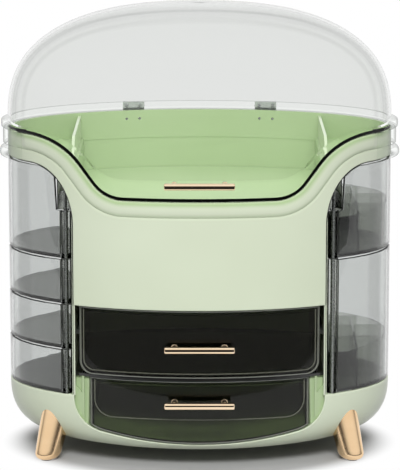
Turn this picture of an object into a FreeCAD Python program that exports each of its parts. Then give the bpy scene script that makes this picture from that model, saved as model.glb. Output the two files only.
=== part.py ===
import FreeCAD, Part
import os
from math import asin, cos, pi, radians, sin, sqrt

from FreeCAD import Matrix, Rotation, Vector

# Vanity organizer: a bowl on four splayed feet carries a cabinet with two drawers, four trays that
# swing out on the left, two bins that swing out on the right, and a top compartment under a hinged
# domed lid. Millimetres, +Z up, the front faces -Y, and the origin is on the floor under the centre.

# ---- driving dimensions -------------------------------------------------------------------------
# Body plan: every outer wall follows one oval
half_width = 172.5
half_depth = 107.0
shell_wall = 3.0            # green mouldings
clear_wall = 2.5            # clear lid and windows
panel_wall = 2.5            # flat green plates and drawer walls

# Levels
bowl_bottom_z = 16.0
base_rim_z = 62.5
low_tier_height = 40.7      # the three low trays on the left
top_tier_height = 81.5      # the tall tray on the left, and the upper bin on the right
low_tier_count = 3

# Bowl
bowl_side_inset = 51.0      # how far the bowl draws in at the sides, at its bottom
bowl_front_inset = 16.3     # and at its front and back
bowl_curve = 2.64           # exponent of the bowl's rounded flank
mouth_setback = 1.5         # the front opening stops this far inside the cabinet's sides
mouth_bottom_z = 22.0
mouth_corner_radius = 30.0
mouth_corner_z = 60.5       # the round corners end here and the sides run straight up

# Cabinet
cabinet_half_width = 112.5
upper_bay_height = 61.4     # from the shelf's top face to the fascia's lower edge
shelf_thickness = 2.5
housing_setback = 10.5      # from the cabinet's side to the inside of the lower drawer's housing
housing_wall = 2.0
jamb_thickness = 2.5
jamb_inset = 4.0
gusset_height = 9.0         # corner piece between the jamb's top and the cabinet wall
top_floor_drop = 2.0        # the top compartment's floor lies this far below the sill

# Wave along the fascia's top edge
sill_z = 240.3
shoulder_z = 292.0
sill_half_length = 66.5
sill_radius = 34.0
shoulder_radius = 58.0
wave_angle = 52.0           # steepest slope of the wave, degrees
bead_width = 13.8
bead_proud = 1.4

# Arch over each side bay
arch_half_width = 38.0
arch_height = 52.0
arch_setback = 1.0          # the arches spring this far inside the cabinet's sides

# Clear collar around the green band
collar_grow = 4.5
flange_grow = 7.5
neck_grow = 2.0
flange_height = 8.7
neck_height = 3.3
collar_front_y = -44.0

# Lid
dome_base_z = 300.0
dome_height = 104.0
dome_curve = 2.5
crown_share = 0.03          # half-widths of the flat at the very top, as a share of the lid's
lip_grow = 6.0
lid_gap = 0.4
sash_width = 3.6            # raised rim along the lid's wavy front edge
sash_proud = 1.0

# Feet
foot_x = 137.0
foot_y = 68.0
foot_lean_x = 0.23
foot_lean_y = 0.34
foot_tip_radius = 11.0
foot_taper = 0.06           # radius gained per millimetre of height
foot_length = 66.0
foot_edge_radius = 6.0
foot_seat_length = 54.0     # along the foot's axis from the floor to the screw's head
foot_boss_radius = 5.0
foot_screw_tip_z = 21.0
pad_radius = 5.0
pad_thickness = 2.0
pad_proud = 0.8

# Handles
bar_radius = 3.0
bar_length = 61.5
bar_stand = 8.5             # from the oval to the bar's centre
stem_radius = 2.2
stem_spacing = 44.0
lid_handle_z = 255.5
upper_handle_z = 111.0
lower_handle_z = 60.8

# Drawers
upper_front_inset = 1.5
lower_front_inset = 5.0
drawer_front_gap = 0.5
drawer_run_gap = 0.4
upper_front_side_gap = 3.8  # from the cabinet's inside to the front panel's edge
lower_front_side_gap = 5.0  # from the housing's inside to the front panel's edge
upper_box_setback = 1.6     # the box stands this far inside its front panel's edge
lower_box_setback = 1.5
drawer_back_y = 74.0
drawer_wall = 2.2
box_top_drop = 5.0          # box walls stop this far under the front panel's top
front_corner_radius = 11.0
guide_height = 4.0
guide_rear_y = 70.0
guide_front_y = -60.0

# Swinging trays
post_radius = 1.75
bore_clearance = 0.05
barrel_radius = 4.8
swing_gap = 0.5
tier_gap = 1.2
washer_thickness = 0.6
washer_radius = 4.4
tray_floor = 3.0
tray_wall = 2.5
arch_gap = 0.8
slope_run = 36.0            # the tall trays' side wall slopes back over this length, clear of the block
bearing_radius = 7.8        # fixed upper bearing block around the post
bearing_gap = 0.6
rack_height = 40.0
rack_wall = 1.6
rack_gap = 0.4
rack_crosses = (-25.0, 12.0, 49.0)
rack_spine_reach = 26.5     # from the cabinet's side to the spine

# Rear hinges of the lid
hinge_x = 62.0
hinge_width = 20.0
knuckle_radius = 3.0
knuckle_gap = 0.4
pin_radius = 1.2
pin_clearance = 0.05
hinge_plate = 2.2
hinge_gap = 0.5

# Fasteners
screw_radius = 1.25
screw_hole_clearance = 0.15
head_radius = 2.6
head_height = 1.5

# Partitions of the top compartment
partition_height = 21.0
partition_rear_y = 91.0
partition_front_y = -66.0
partition_corner = 10.0

# ---- levels and places that follow --------------------------------------------------------------
tier_levels = [base_rim_z + low_tier_height * i for i in range(low_tier_count + 1)]
bay_top_z = tier_levels[-1] + top_tier_height
fascia_bottom_z = tier_levels[-1] - low_tier_height
shelf_top_z = fascia_bottom_z - upper_bay_height
shelf_bottom_z = shelf_top_z - shelf_thickness
arch_spring_z = bay_top_z + 1.4 - arch_height
top_floor_z = sill_z - top_floor_drop
wing_floor_z = bay_top_z + panel_wall
collar_top_z = shoulder_z - 0.4
cabinet_inner_x = cabinet_half_width - panel_wall
mouth_half_width = cabinet_half_width - mouth_setback
housing_half_width = cabinet_half_width - housing_setback
arch_spring_x = cabinet_half_width - arch_setback
upper_front_half_width = cabinet_inner_x - upper_front_side_gap
lower_front_half_width = housing_half_width - lower_front_side_gap
upper_box_half_width = upper_front_half_width - upper_box_setback
lower_box_half_width = lower_front_half_width - lower_box_setback
rack_spine_x = cabinet_half_width + rack_spine_reach
bar_y = -(half_depth + bar_stand)
stem_end_y = -half_depth * 0.8
hinge_y = half_depth + bar_stand
hinge_z = shoulder_z + lid_gap / 2
post_x = cabinet_half_width + swing_gap + barrel_radius
FAR = 600.0                 # longer than the whole object, for cutting tools


def oval_y(x, inset=0.0):
    return (half_depth - inset) * sqrt(1 - (x / (half_width - inset)) ** 2)


post_slope = (half_depth / half_width) ** 2 * post_x / oval_y(post_x)
post_y = -(oval_y(post_x) - barrel_radius * sqrt(1 + post_slope ** 2))


# ---- shape helpers ------------------------------------------------------------------------------
def fuse(shapes):
    return shapes[0].fuse(shapes[1:])


def box(x0, x1, y0, y1, z0, z1):
    low = Vector(min(x0, x1), min(y0, y1), min(z0, z1))
    return Part.makeBox(abs(x1 - x0), abs(y1 - y0), abs(z1 - z0), low)


def oval_stack(rings, first_run=None, last_run=None):
    # smooth solid through flat ovals, each given by its half-widths in x and y and its level
    run = Part.BSplineCurve()
    points = [Vector(*one) for one in rings]
    if first_run:
        run.interpolate(Points=points, InitialTangent=first_run, FinalTangent=last_run)
    else:
        run.interpolate(Points=points)
    corner = sqrt(0.5)
    around = [(1, 0, 1), (1, 1, corner), (0, 1, 1), (-1, 1, corner), (-1, 0, 1),
              (-1, -1, corner), (0, -1, 1), (1, -1, corner), (1, 0, 1)]
    poles = [[Vector(p.x * x, p.y * y, p.z) for p in run.getPoles()] for x, y, weight in around]
    weights = [[weight] * run.NbPoles for x, y, weight in around]
    flank = Part.BSplineSurface()
    flank.buildFromPolesMultsKnots(poles, [3, 2, 2, 2, 3], run.getMultiplicities(), [0, 1, 2, 3, 4],
                                   run.getKnots(), False, False, 2, run.Degree, weights)
    side = flank.toShape()
    rims = [e for e in side.Edges if e.isClosed()]
    shell = Part.makeShell([side] + [Part.Face(Part.Wire([rim])) for rim in rims])
    shell.sewShape()
    body = Part.makeSolid(shell)
    if body.Volume < 0:
        body.reverse()
    return body


def oval(inset, z0, z1):
    # upright column whose wall lies this far inside the body's oval
    half_x = half_width - inset
    half_y = half_depth - inset
    return oval_stack([(half_x, half_y, z0), (half_x, half_y, z1)])


def ring(outer_inset, inner_inset, z0, z1):
    return oval(outer_inset, z0, z1).cut(oval(inner_inset, z0 - 1, z1 + 1))


def through(edges, y0=-FAR, y1=FAR):
    # a closed outline drawn in the XZ plane, its edges in order, carried from y0 to y1
    face = Part.Face(Part.Wire(edges))
    face.translate(Vector(0, y0, 0))
    return face.extrude(Vector(0, y1 - y0, 0))


def polygon(points):
    ends = points[1:] + points[:1]
    return [Part.LineSegment(a, b).toShape() for a, b in zip(points, ends)]


def rod(start, end, radius):
    axis = end - start
    return Part.makeCylinder(radius, axis.Length, start, axis)


def mirrored(shape):
    return shape.mirror(Vector(0, 0, 0), Vector(1, 0, 0))


def solid_of(shape):
    # the one solid of a cut or fused shape, or a compound where it holds several
    solids = shape.Solids
    return solids[0] if len(solids) == 1 else Part.makeCompound(solids)


# ---- outlines -----------------------------------------------------------------------------------
def bowl_body(wall):
    # the bowl's rounded flank, drawn in by one wall for its inside
    rings = []
    for share in (0.0, 0.25, 0.5, 0.7, 0.85, 0.94, 0.985, 1.0):
        pull = 1 - (1 - share ** bowl_curve) ** (1 / bowl_curve)
        rings.append((half_width - wall - bowl_side_inset * pull,
                      half_depth - wall - bowl_front_inset * pull,
                      base_rim_z - (base_rim_z - bowl_bottom_z - wall) * share))
    return oval_stack(rings)


def arc(centre_x, centre_z, radius, turn_from, turn_to):
    # arc in the XZ plane, its turns measured from straight down towards +X
    turns = (turn_from, (turn_from + turn_to) / 2, turn_to)
    ends = [Vector(centre_x + radius * sin(turn), 0, centre_z - radius * cos(turn)) for turn in turns]
    return Part.Arc(*ends).toShape()


def mouth(grow):
    # a shallow sill between two round corners, with straight sides up to the shelf
    half_x = mouth_half_width + grow
    corner = mouth_corner_radius + grow
    bottom = mouth_bottom_z - grow
    corner_x = half_x - corner
    rise = mouth_corner_z - bottom
    sill = (corner_x ** 2 + rise ** 2 - corner ** 2) / (2 * (rise - corner))
    lean = asin(corner_x / (sill - corner))
    side = Part.LineSegment(Vector(half_x, 0, mouth_corner_z), Vector(half_x, 0, shelf_bottom_z))
    right = [arc(corner_x, mouth_corner_z, corner, lean, pi / 2), side.toShape()]
    left = [mirrored(edge) for edge in right]
    low = arc(0, bottom + sill, sill, -lean, lean)
    top = Part.LineSegment(Vector(half_x, 0, shelf_bottom_z), Vector(-half_x, 0, shelf_bottom_z))
    return Part.sortEdges([low, top.toShape()] + right + left)[0]


def above_wave(drop):
    # everything above the wave, with the wave lowered square to itself by this much
    turn = radians(wave_angle)
    bend = (sill_radius + shoulder_radius) * (1 - cos(turn))
    slope = (shoulder_z - sill_z - bend) / sin(turn)
    shoulder_x = sill_half_length + (sill_radius + shoulder_radius) * sin(turn) + slope * cos(turn)
    low_radius = sill_radius + drop
    high_radius = shoulder_radius - drop
    low_z = sill_z + sill_radius
    high_z = shoulder_z - shoulder_radius

    low_end = Vector(sill_half_length + low_radius * sin(turn), 0, low_z - low_radius * cos(turn))
    high_end = Vector(shoulder_x - high_radius * sin(turn), 0, high_z + high_radius * cos(turn))
    right = [arc(sill_half_length, low_z, low_radius, 0, turn),
             Part.LineSegment(low_end, high_end).toShape(),
             arc(shoulder_x, high_z, high_radius, pi + turn, pi),
             Part.LineSegment(Vector(shoulder_x, 0, high_z + high_radius),
                              Vector(FAR, 0, shoulder_z - drop)).toShape()]
    left = [mirrored(edge) for edge in right]
    sill = Part.LineSegment(Vector(-sill_half_length, 0, sill_z - drop),
                            Vector(sill_half_length, 0, sill_z - drop)).toShape()
    corners = [Vector(FAR, 0, shoulder_z - drop), Vector(FAR, 0, 2 * FAR),
               Vector(-FAR, 0, 2 * FAR), Vector(-FAR, 0, shoulder_z - drop)]
    sky = [Part.LineSegment(a, b).toShape() for a, b in zip(corners, corners[1:])]
    return through(Part.sortEdges(right + left + [sill] + sky)[0])


def bay(gap):
    # the right side bay seen from the front: an arch that runs out level to the side
    spring_x = arch_spring_x + gap
    half_x = arch_half_width - gap
    height = arch_height - gap
    crown_x = spring_x + half_x
    arch = Part.Ellipse(Vector(crown_x, 0, arch_spring_z + height),
                        Vector(crown_x + half_x, 0, arch_spring_z),
                        Vector(crown_x, 0, arch_spring_z))
    crown = through([arch.toShape()])
    side = box(crown_x, FAR, -FAR, FAR, 0, arch_spring_z + height)
    legs = box(spring_x, FAR, -FAR, FAR, 0, arch_spring_z)
    return fuse([crown, side, legs])


def dome_body(wall):
    # rounded cushion over the oval; its crown ends in a small flat
    half_x = half_width - wall
    half_y = half_depth - wall
    height = dome_height - wall
    rings = []
    steps = 14
    for i in range(steps):
        turn = pi / 2 * i / steps
        draw = cos(turn) ** (2 / dome_curve)
        rings.append((half_x * draw, half_y * draw, dome_base_z + height * sin(turn) ** (2 / dome_curve)))
    rings.append((half_x * crown_share, half_y * crown_share, dome_base_z + height))
    return oval_stack(rings, Vector(0, 0, 1), Vector(-half_x, -half_y, 0))


bowl_outer = bowl_body(0)
bowl_inner = bowl_body(shell_wall)


# ---- base ---------------------------------------------------------------------------------------
def foot_axis(side, end):
    foot = Vector(side * foot_x, end * foot_y, 0)
    lean = Vector(-side * foot_lean_x, -end * foot_lean_y, 1)
    return foot, lean.normalize()


def foot(side, end):
    tip, axis = foot_axis(side, end)
    start = tip - axis * foot_length * 0.3
    low_radius = foot_tip_radius - foot_taper * foot_length * 0.3
    high_radius = foot_tip_radius + foot_taper * foot_length
    cone = Part.makeCone(low_radius, high_radius, foot_length * 1.3, start, axis)
    cone = cone.common(box(-FAR, FAR, -FAR, FAR, pad_proud, FAR))
    bottom = [e for e in cone.Edges if e.BoundBox.ZMax < pad_proud + 0.1]
    cone = cone.makeFillet(foot_edge_radius, bottom)
    recess = rod(tip, tip + Vector(0, 0, pad_thickness), pad_radius)
    bore = rod(tip, tip + axis * FAR, screw_radius)
    keep = box(-FAR, FAR, -FAR, FAR, foot_screw_tip_z, FAR)
    below = [s for s in cone.cut(bowl_outer).Solids if s.BoundBox.ZMin < bowl_bottom_z]
    return solid_of(below[0].cut(recess).cut(bore.common(keep)))


def foot_pad(side, end):
    tip, axis = foot_axis(side, end)
    return rod(tip, tip + Vector(0, 0, pad_thickness), pad_radius)


def foot_screw(side, end):
    # runs down the foot's axis from a seat on the bowl's inner wall
    tip, axis = foot_axis(side, end)
    seat = tip + axis * foot_seat_length
    shank = rod(tip + axis * (foot_screw_tip_z / axis.z + screw_radius), seat, screw_radius)
    head = rod(seat, seat + axis * head_height, head_radius)
    return fuse([shank, head])


foot_places = {"front_left": (-1, -1), "front_right": (1, -1), "rear_left": (-1, 1), "rear_right": (1, 1)}


def base_bowl():
    shell = bowl_outer.cut(bowl_inner)
    front_half = box(-FAR, FAR, -FAR, 0, 0, FAR)
    shell = shell.cut(through(mouth(0)).common(front_half))
    for side, end in foot_places.values():
        tip, axis = foot_axis(side, end)
        boss = rod(tip, tip + axis * foot_seat_length, foot_boss_radius).common(bowl_inner)
        hole = rod(tip, tip + axis * FAR, screw_radius + screw_hole_clearance)
        shell = shell.fuse(boss).cut(hole)
    return solid_of(shell)


def base_deck():
    deck = oval(shell_wall, base_rim_z - panel_wall, base_rim_z)
    well_x = housing_half_width + housing_wall
    well = box(-well_x, well_x, -FAR, drawer_back_y + drawer_run_gap + housing_wall, 0, FAR)
    front_x = mouth_half_width + shell_wall
    front = box(-front_x, front_x, -FAR, 0, 0, FAR)
    deck = deck.cut(well).cut(front.cut(oval(jamb_inset + jamb_thickness, 0, FAR)))
    for side in (-1, 1):
        deck = deck.cut(post(side))
    return solid_of(deck)


def housing_section(grow, top):
    walls = box(-housing_half_width - grow, housing_half_width + grow, -FAR, FAR, 0, top)
    return walls.common(through(mouth(grow)))


def drawer_housing():
    rear = drawer_back_y + drawer_run_gap
    inside = housing_section(0, shelf_bottom_z).common(box(-FAR, FAR, -FAR, rear, 0, FAR))
    outside = housing_section(housing_wall, shelf_bottom_z)
    outside = outside.common(box(-FAR, FAR, -FAR, rear + housing_wall, 0, FAR))
    low = box(-FAR, FAR, -FAR, FAR, 0, base_rim_z)
    liner = outside.cut(inside)
    liner_low = liner.common(bowl_inner)
    liner_high = liner.cut(low).common(oval(shell_wall, 0, FAR))
    # jambs close the bowl's mouth beside the housing, each with a low gusset against the cabinet's wall
    jamb = ring(jamb_inset, jamb_inset + jamb_thickness, 0, base_rim_z).common(bowl_inner)
    jamb = jamb.common(through(mouth(shell_wall))).cut(housing_section(0, shelf_bottom_z))
    jamb = jamb.common(box(-FAR, FAR, -FAR, 0, 0, FAR))
    gussets = ring(jamb_inset, jamb_inset + jamb_thickness, base_rim_z, base_rim_z + gusset_height)
    wedge = through(polygon([Vector(housing_half_width, 0, base_rim_z),
                             Vector(cabinet_inner_x, 0, base_rim_z),
                             Vector(cabinet_inner_x, 0, base_rim_z + gusset_height)]), -FAR, 0)
    gussets = gussets.common(wedge.fuse(mirrored(wedge)))
    return solid_of(fuse([liner_low, liner_high, jamb, gussets]))


# ---- cabinet ------------------------------------------------------------------------------------
def cabinet_wall(side):
    plate = box(side * cabinet_inner_x, side * cabinet_half_width, -FAR, FAR, base_rim_z, bay_top_z)
    low = plate.common(oval(0.3, 0, fascia_bottom_z))
    high = plate.common(oval(shell_wall, fascia_bottom_z, bay_top_z))
    rear = plate.common(oval(0, fascia_bottom_z, bay_top_z)).common(box(-FAR, FAR, 0, FAR, 0, FAR))
    return solid_of(fuse([low, high, rear]))


def cabinet_back():
    skin = ring(0, panel_wall, base_rim_z, bay_top_z)
    return solid_of(skin.common(box(-cabinet_inner_x, cabinet_inner_x, 0, FAR, 0, FAR)))


def cabinet_plate(z0, z1, front_inset):
    plate = box(-cabinet_inner_x, cabinet_inner_x, -FAR, FAR, z0, z1)
    front = box(-FAR, FAR, -FAR, 0, 0, FAR)
    plate = plate.common(oval(panel_wall, 0, FAR))
    return solid_of(plate.cut(front.cut(oval(front_inset, 0, FAR))))


def front_fascia():
    skin = ring(0, shell_wall, fascia_bottom_z, dome_base_z)
    bead = ring(-bead_proud, shell_wall, fascia_bottom_z, dome_base_z).common(above_wave(bead_width))
    skin = skin.fuse(bead).cut(above_wave(0))
    skin = skin.common(box(-FAR, FAR, -FAR, 0, 0, FAR))
    right = bay(0)
    skin = skin.cut(right).cut(mirrored(right))
    # the proud bead gives way to the collar that wraps the sides
    wrapped = ring(-bead_proud - 1, 0, 0, FAR).common(box(-FAR, FAR, collar_front_y, FAR, 0, FAR))
    return solid_of(skin.cut(wrapped))


def rear_band():
    band = ring(0, shell_wall, bay_top_z, shoulder_z)
    band = band.common(box(-FAR, FAR, 0, FAR, 0, FAR))
    return solid_of(band.cut(body_screw_holes()))


def clear_collar():
    flange = oval(-flange_grow, bay_top_z, bay_top_z + flange_height)
    round_edges = [e for e in flange.Edges if e.Length > half_width]
    flange = flange.makeFillet(flange_height * 0.42, round_edges)
    neck_top = bay_top_z + flange_height + neck_height
    neck = oval(-neck_grow, bay_top_z + flange_height, neck_top)
    wall = ring(-collar_grow, 0, neck_top, collar_top_z).cut(body_screw_holes())
    collar = fuse([flange.fuse(neck).cut(oval(0, 0, FAR)), wall])
    return solid_of(collar.cut(box(-FAR, FAR, -FAR, collar_front_y, 0, FAR)))


def top_tray():
    # a low centre floor between two step walls, and a wing floor over each side bay
    inside = oval(shell_wall, top_floor_z - panel_wall, wing_floor_z)
    step_x = cabinet_inner_x - panel_wall
    wings = inside.common(box(-FAR, FAR, -FAR, FAR, bay_top_z, FAR))
    wings = wings.cut(box(-step_x, step_x, -FAR, FAR, 0, FAR))
    steps = inside.common(box(-cabinet_inner_x, cabinet_inner_x, -FAR, FAR, 0, FAR))
    steps = steps.cut(box(-step_x, step_x, -FAR, FAR, 0, FAR))
    centre = inside.common(box(-step_x, step_x, -FAR, FAR, 0, top_floor_z))
    tray = fuse([wings, steps, centre])
    for side in (-1, 1):
        tray = tray.cut(post(side))
    return solid_of(tray)


def partition(side):
    top = wing_floor_z + partition_height
    r = partition_corner
    front = Vector(0, partition_front_y, wing_floor_z)
    nose = Vector(0, partition_front_y + partition_height - r, top)
    rear = Vector(0, partition_rear_y, wing_floor_z)
    rear_high = Vector(0, partition_rear_y, top - r)
    rear_top = Vector(0, partition_rear_y - r, top)
    corner_mid = Vector(0, partition_rear_y - r * (1 - sin(pi / 4)), top - r * (1 - sin(pi / 4)))
    front_top = Vector(0, nose.y + r, top)
    brow = Vector(0, (front.y + front_top.y) / 2 - r * 0.25, (front.z + top) / 2 + r * 0.25)
    edges = [Part.LineSegment(front, rear).toShape(),
             Part.LineSegment(rear, rear_high).toShape(),
             Part.Arc(rear_high, corner_mid, rear_top).toShape(),
             Part.LineSegment(rear_top, front_top).toShape(),
             Part.Arc(front_top, brow, front).toShape()]
    plate = Part.Face(Part.Wire(edges)).extrude(Vector(panel_wall, 0, 0))
    plate.translate(Vector(cabinet_inner_x, 0, 0))
    plate = plate.common(oval(shell_wall, 0, FAR))
    return solid_of(plate if side > 0 else mirrored(plate))


# ---- lid ----------------------------------------------------------------------------------------
def lid_dome():
    low = sill_z
    shell = fuse([oval(0, low, dome_base_z), dome_body(0)])
    shell = shell.cut(oval(clear_wall, low - 1, dome_base_z)).cut(dome_body(clear_wall))
    lip = ring(-lip_grow, clear_wall, shoulder_z, dome_base_z - lid_gap)
    lip = lip.cut(box(-FAR, FAR, -FAR, collar_front_y, 0, FAR))
    sash = ring(-sash_proud, clear_wall, low, dome_base_z).cut(above_wave(-sash_width))
    sash = sash.common(box(-FAR, FAR, -FAR, 0, 0, FAR))
    shell = fuse([shell, lip, sash])
    front = shell.common(above_wave(-lid_gap)).common(box(-FAR, FAR, -FAR, 0, 0, FAR))
    rear = shell.common(box(-FAR, FAR, 0, FAR, shoulder_z + lid_gap, FAR))
    lid = fuse([front, rear]).cut(lid_screw_holes()).cut(handle_holes(lid_handle_z))
    return solid_of(lid)


# ---- lid hinges ---------------------------------------------------------------------------------
def hinge_places():
    return (-hinge_x, hinge_x)


def body_screws():
    # pairs of screws through leaf, collar and band, with the heads at the back
    z = hinge_z - knuckle_radius - hinge_gap - body_leaf_height / 2
    return screw_pairs(z, hinge_leaf_back_y(), shell_wall + collar_grow)


def lid_screws():
    z = hinge_z + (lid_leaf_low() + lid_leaf_high()) / 2
    return screw_pairs(z, hinge_leaf_back_y(), clear_wall + lip_grow)


body_leaf_height = 9.0
lid_leaf_height = 5.6


def lid_leaf_low():
    return hinge_gap + 0.6


def lid_leaf_high():
    return lid_leaf_low() + lid_leaf_height


def hinge_leaf_back_y():
    return oval_y(hinge_x, -lip_grow) + hinge_plate + hinge_width * 0.1


def screw_pairs(z, back_y, reach):
    screws = []
    for x in hinge_places():
        for step in (-1, 1):
            place = x + step * hinge_width * 0.3
            seat = Vector(place, back_y, z)
            tip = Vector(place, oval_y(abs(place), -0.2) - reach * 0.3, z)
            shank = rod(tip, seat, screw_radius)
            head = rod(seat, seat + Vector(0, head_height, 0), head_radius * 0.8)
            screws.append(fuse([shank, head]))
    return screws


def screw_tunnels(z):
    holes = []
    for x in hinge_places():
        for step in (-1, 1):
            place = x + step * hinge_width * 0.3
            start = Vector(place, half_depth * 0.8, z)
            holes.append(rod(start, start + Vector(0, half_depth * 0.4, 0), screw_radius))
    return Part.makeCompound(holes)


def body_screw_holes():
    return screw_tunnels(hinge_z - knuckle_radius - hinge_gap - body_leaf_height / 2)


def lid_screw_holes():
    return screw_tunnels(hinge_z + (lid_leaf_low() + lid_leaf_high()) / 2)


def knuckle(x, share_from, share_to, trim_low, trim_high):
    x0 = x - hinge_width / 2 + hinge_width * share_from + trim_low
    x1 = x - hinge_width / 2 + hinge_width * share_to - trim_high
    return x0, x1


def hinge_leaf(x, on_lid):
    back_y = hinge_leaf_back_y()
    half_gap = knuckle_gap / 2
    if on_lid:
        spans = [knuckle(x, 0.3, 0.7, half_gap, half_gap)]
        z0 = hinge_z + lid_leaf_low()
        z1 = hinge_z + lid_leaf_high()
        host = oval(-lip_grow, 0, FAR)
    else:
        spans = [knuckle(x, 0.0, 0.3, 0, half_gap), knuckle(x, 0.7, 1.0, half_gap, 0)]
        z1 = hinge_z - knuckle_radius - hinge_gap
        z0 = z1 - body_leaf_height
        host = oval(-collar_grow, 0, FAR)
    plate = box(x - hinge_width / 2, x + hinge_width / 2, half_depth * 0.8, back_y, z0, z1)
    parts = [plate.cut(host)]
    for x0, x1 in spans:
        barrel = rod(Vector(x0, hinge_y, hinge_z), Vector(x1, hinge_y, hinge_z), knuckle_radius)
        if on_lid:
            arm = box(x0, x1, back_y - hinge_plate, hinge_y + knuckle_radius * 0.5, z0,
                      z0 + hinge_plate)
        else:
            arm = box(x0, x1, back_y - hinge_plate, hinge_y, z1 - hinge_plate, z1)
            web = box(x0, x1, hinge_y - knuckle_radius * 0.8, hinge_y + knuckle_radius * 0.5,
                      z1 - hinge_plate, hinge_z)
            arm = arm.fuse(web)
        parts += [barrel, arm]
    leaf = fuse(parts)
    bore = pin_radius + (pin_clearance if on_lid else 0)
    leaf = leaf.cut(rod(Vector(x - FAR, hinge_y, hinge_z), Vector(x + FAR, hinge_y, hinge_z), bore))
    holes = lid_screw_holes() if on_lid else body_screw_holes()
    return solid_of(leaf.cut(holes))


def hinge_pins():
    pins = []
    for x in hinge_places():
        start = Vector(x - hinge_width / 2, hinge_y, hinge_z)
        pins.append(rod(start, start + Vector(hinge_width, 0, 0), pin_radius))
    return Part.makeCompound(pins)


# ---- handles ------------------------------------------------------------------------------------
def handle(z, panel_inset):
    # a round bar on two stems that stop at the panel's face
    bar = rod(Vector(-bar_length / 2, bar_y, z), Vector(bar_length / 2, bar_y, z), bar_radius)
    bar = bar.makeFillet(bar_radius * 0.35, [e for e in bar.Edges if e.Length > 2 * bar_radius
                                             and e.BoundBox.XLength < 0.1])
    parts = [bar]
    for side in (-1, 1):
        x = side * stem_spacing / 2
        parts.append(rod(Vector(x, bar_y, z), Vector(x, stem_end_y, z), stem_radius))
    grip = fuse(parts).cut(oval(panel_inset, z - 2 * bar_radius, z + 2 * bar_radius))
    for side in (-1, 1):
        x = side * stem_spacing / 2
        bite = bar_y + bar_radius
        grip = grip.cut(rod(Vector(x, bite, z), Vector(x, stem_end_y, z), screw_radius))
    return solid_of(grip)


def handle_holes(z):
    holes = []
    for side in (-1, 1):
        x = side * stem_spacing / 2
        holes.append(rod(Vector(x, bar_y, z), Vector(x, stem_end_y, z), screw_radius + screw_hole_clearance))
    return Part.makeCompound(holes)


def handle_screws(z, panel_inset, wall):
    screws = []
    for side in (-1, 1):
        x = side * stem_spacing / 2
        seat = -oval_y(stem_spacing / 2 + head_radius, panel_inset + wall) + head_seat
        tip = Vector(x, bar_y + bar_radius, z)
        shank = rod(tip, Vector(x, seat, z), screw_radius)
        head = rod(Vector(x, seat, z), Vector(x, seat + head_height, z), head_radius)
        screws.append(fuse([shank, head]))
    return Part.makeCompound(screws)


head_seat = 0.05            # keeps the flat head clear of the curved panel


# ---- drawers ------------------------------------------------------------------------------------
def upper_drawer_front():
    z0 = shelf_top_z + drawer_front_gap
    z1 = fascia_bottom_z - drawer_front_gap
    half_x = upper_front_half_width
    r = front_corner_radius
    lean = r * (1 - sin(pi / 4))
    edges = [Part.LineSegment(Vector(-half_x, 0, z1), Vector(half_x, 0, z1)).toShape(),
             Part.LineSegment(Vector(half_x, 0, z1), Vector(half_x, 0, z0 + r)).toShape(),
             Part.Arc(Vector(half_x, 0, z0 + r), Vector(half_x - lean, 0, z0 + lean),
                      Vector(half_x - r, 0, z0)).toShape(),
             Part.LineSegment(Vector(half_x - r, 0, z0), Vector(r - half_x, 0, z0)).toShape(),
             Part.Arc(Vector(r - half_x, 0, z0), Vector(lean - half_x, 0, z0 + lean),
                      Vector(-half_x, 0, z0 + r)).toShape(),
             Part.LineSegment(Vector(-half_x, 0, z0 + r), Vector(-half_x, 0, z1)).toShape()]
    skin = ring(upper_front_inset, upper_front_inset + panel_wall, z0 - 1, z1 + 1)
    return solid_of(skin.common(through(edges, -FAR, 0)).cut(handle_holes(upper_handle_z)))


def upper_drawer_box():
    z0 = shelf_top_z + drawer_run_gap
    z1 = fascia_bottom_z - box_top_drop
    inset = upper_front_inset + panel_wall
    outer = box(-upper_box_half_width, upper_box_half_width, -FAR, drawer_back_y, z0, z1)
    outer = outer.common(oval(inset, 0, FAR))
    upright = [e for e in outer.Edges if e.BoundBox.ZLength > (z1 - z0) * 0.9
               and e.BoundBox.YMin > drawer_back_y * 0.9]
    if upright:
        outer = outer.makeFillet(front_corner_radius * 0.4, upright)
    inner = box(-upper_box_half_width + drawer_wall, upper_box_half_width - drawer_wall,
                -FAR, drawer_back_y - drawer_wall, z0 + drawer_wall, FAR)
    inner = inner.common(oval(inset + drawer_wall, 0, FAR))
    tub = outer.cut(inner).cut(handle_holes(upper_handle_z))
    return solid_of(tub.cut(head_pockets(upper_handle_z)))


def head_pockets(z):
    pockets = []
    for side in (-1, 1):
        x = side * stem_spacing / 2
        pockets.append(rod(Vector(x, bar_y, z), Vector(x, stem_end_y, z), head_radius + 0.6))
    return Part.makeCompound(pockets)


def lower_drawer_front():
    half_x = lower_front_half_width
    z1 = shelf_bottom_z - drawer_front_gap
    skin = ring(lower_front_inset, lower_front_inset + panel_wall, 0, z1)
    skin = skin.common(box(-half_x, half_x, -FAR, 0, 0, FAR))
    return solid_of(skin.common(through(mouth(-2 * drawer_front_gap))).cut(handle_holes(lower_handle_z)))


def lower_drawer_box():
    z1 = shelf_bottom_z - box_top_drop
    inset = lower_front_inset + panel_wall
    outer = box(-lower_box_half_width, lower_box_half_width, -FAR, drawer_back_y, 0, z1)
    outer = outer.common(through(mouth(-drawer_run_gap))).common(oval(inset, 0, FAR))
    inner_x = lower_box_half_width - drawer_wall
    inner = box(-inner_x, inner_x, -FAR, drawer_back_y - drawer_wall, 0, FAR)
    inner = inner.common(through(mouth(-drawer_run_gap - drawer_wall)))
    inner = inner.fuse(box(-inner_x, inner_x, -FAR, drawer_back_y - drawer_wall, base_rim_z, FAR))
    inner = inner.common(oval(inset + drawer_wall, 0, FAR))
    return solid_of(outer.cut(inner).cut(head_pockets(lower_handle_z)))


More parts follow.
